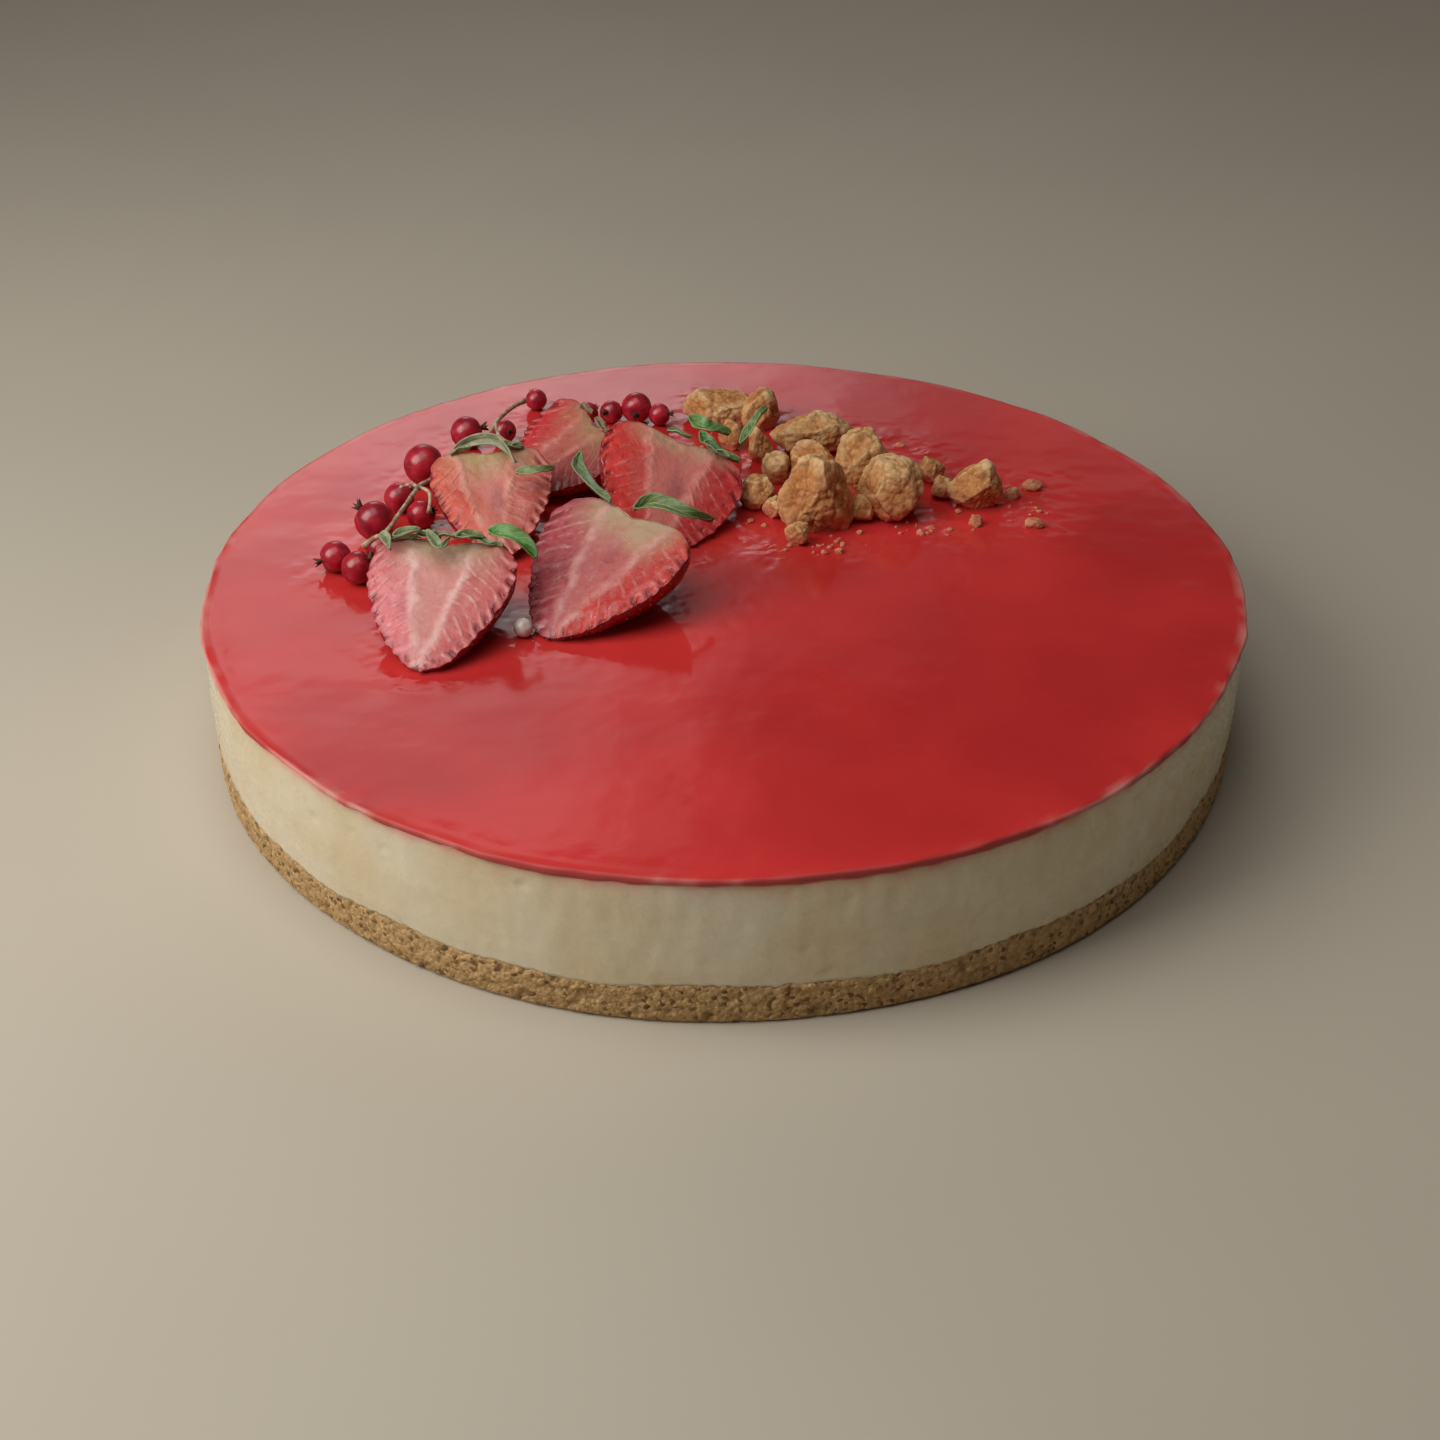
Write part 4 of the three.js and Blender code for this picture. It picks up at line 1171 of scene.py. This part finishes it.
# The glaze, last, because it creeps up a little wherever a topping stands in it
# deep, rim and pale paint light and shade on the edge: deep is deeper red on the front lip and side band
# (thicker jelly, and painted shade), rim is also a brighter red band by the front edge (painted light), pale
# is a pale rim at the back and sides (painted highlight, and cream showing through thin jelly)
glaze = {"sides": 90, "cuts": 4, "spacing": 2, "reaches": (2.6, 1.4),
         "color": "d63836", "deep": "9c1a1e", "rim": "e03a36", "pale": "efc2b6",
         "ripple": 0.045, "wave": 0.16}


def glazeMaterial(look):
    material, tree, shader, where = startMaterial("red jelly", IOR=1.4)
    color = blend(tree, patches(tree, where, 55, 0.3, 0.7), tone(look["color"]), tone(look["deep"]))
    color = blend(tree, 0.5, color, tone(look["color"]))
    color = tint(tree, color, look["rim"], patches(tree, where, 4, 0.55, 0.75), 0.12)
    # edge paints light as a brighter red band by the front edge, thick paints shade as deeper red on the
    # front lip and side band over the red of thicker jelly, and pale paints a highlight as a pale rim at the
    # back and sides, partly cream showing through thin jelly
    for name, code in (("edge", "rim"), ("thick", "deep"), ("pale", "pale")):
        color = tint(tree, color, look[code], attribute(tree, name))
    gloss = plus(tree, 0.08, times(tree, patches(tree, where, 30), 0.05))
    gloss = plus(tree, gloss, times(tree, attribute(tree, "lip"), 0.6))
    coarse = grain(tree, where, 7, 0.035, grain(tree, where, 34, 0.35))
    height = times(tree, patches(tree, where, 5, 0.2, 0.8, 1), attribute(tree, "near"))
    ripple = put(tree, "Bump", {"Height": height, "Distance": look["wave"] * mm, "Normal": coarse}).outputs[0]
    feed(tree, shader, Base_Color=color, Roughness=gloss, Normal=ripple)
    return material


def makeGlaze(look):
    radius, top = cake["radius"], cake["glazeTop"]
    bottom = cake["creamTop"] + 0.02
    profile = [(radius - 5, bottom), (radius - 0.1, bottom), (radius + 0.05, bottom + 0.3),
               (radius, top - 0.55), (radius - 0.12, top - 0.25), (radius - 0.4, top - 0.06),
               (radius - 0.9, top), (radius - 6, top), (0, top)]
    bm = spunLayer(profile, look["sides"], look["cuts"], look["spacing"])
    closeHoles(bm)
    # finer faces round the toppings
    tree = BVHTree.FromPolygons(feet["points"], feet["faces"])
    for reach in look["reaches"]:
        near = {vert for vert in bm.verts
                if vert.co.z > top - 0.01 and tree.find_nearest(vert.co, reach)[0]}
        edges = [edge for edge in bm.edges if edge.verts[0] in near and edge.verts[1] in near]
        bmesh.ops.subdivide_edges(bm, edges=edges, cuts=1, use_grid_fill=True)
    thick, lip, close, pale, paintedEdgeLight = newLayers(bm, "thick", "lip", "near", "pale", "edge")
    for vert in bm.verts:
        angle = atan2(vert.co.y, vert.co.x)
        away = radius - hypot(vert.co.x, vert.co.y)
        # where the jelly laps far over the rim, at the front, its edge is deeper red, and where it laps
        # little, at the back and sides, it has a pale rim; these are painted light and shade on the edge, as
        # set out below
        hang = glazeLap(angle)
        full = eased(hang, -0.6, -0.2)
        inside = max(0, away)
        # deeper red on the lip and side band: thicker jelly and painted shade
        vert[thick] = full * max(0.5 * exp(-(inside / 0.7) ** 2), 0.65 * eased(vert.co.z, top, top - 0.4))
        uneven = rough(Vector((vert.co.x, vert.co.y, 0)), 6, 4)
        # pale rim at the back and sides: painted highlight, partly cream showing through thin jelly
        vert[pale] = exp(-(inside / max(0.15, 0.65 + uneven)) ** 2) * (0.5 - 0.42 * full)
        # brighter red band by the front edge: painted light
        vert[paintedEdgeLight] = 0.6 * exp(-inside / 5) * full
        vert[lip] = exp(-inside / 0.6)
        if vert.co.z > top - 0.01 and away > 1.5:
            spot, _, index, near = tree.find_nearest(vert.co, 24)
            if spot:
                creep = feet["creep"][index]
                vert.co.z += creep * exp(-near / (0.35 + 0.5 * creep))
                vert[close] = eased(near, 13, 1)
            vert.co.z += look["ripple"] * rough(vert.co, 12, 3) - 0.12 * exp(-away / 2)
        lap = -hang if vert.co.z < bottom + 0.35 else 0
        moveSide(vert, radius - 4.5, sideWobble(angle) - 0.1 + 0.2 * sin(19 * angle) + 0.4 * uneven, lap)
    finished(bm, "jelly_top", [glazeMaterial(look)], ["strawberry_glaze"])


makeGlaze(glaze)
print("glaze done")
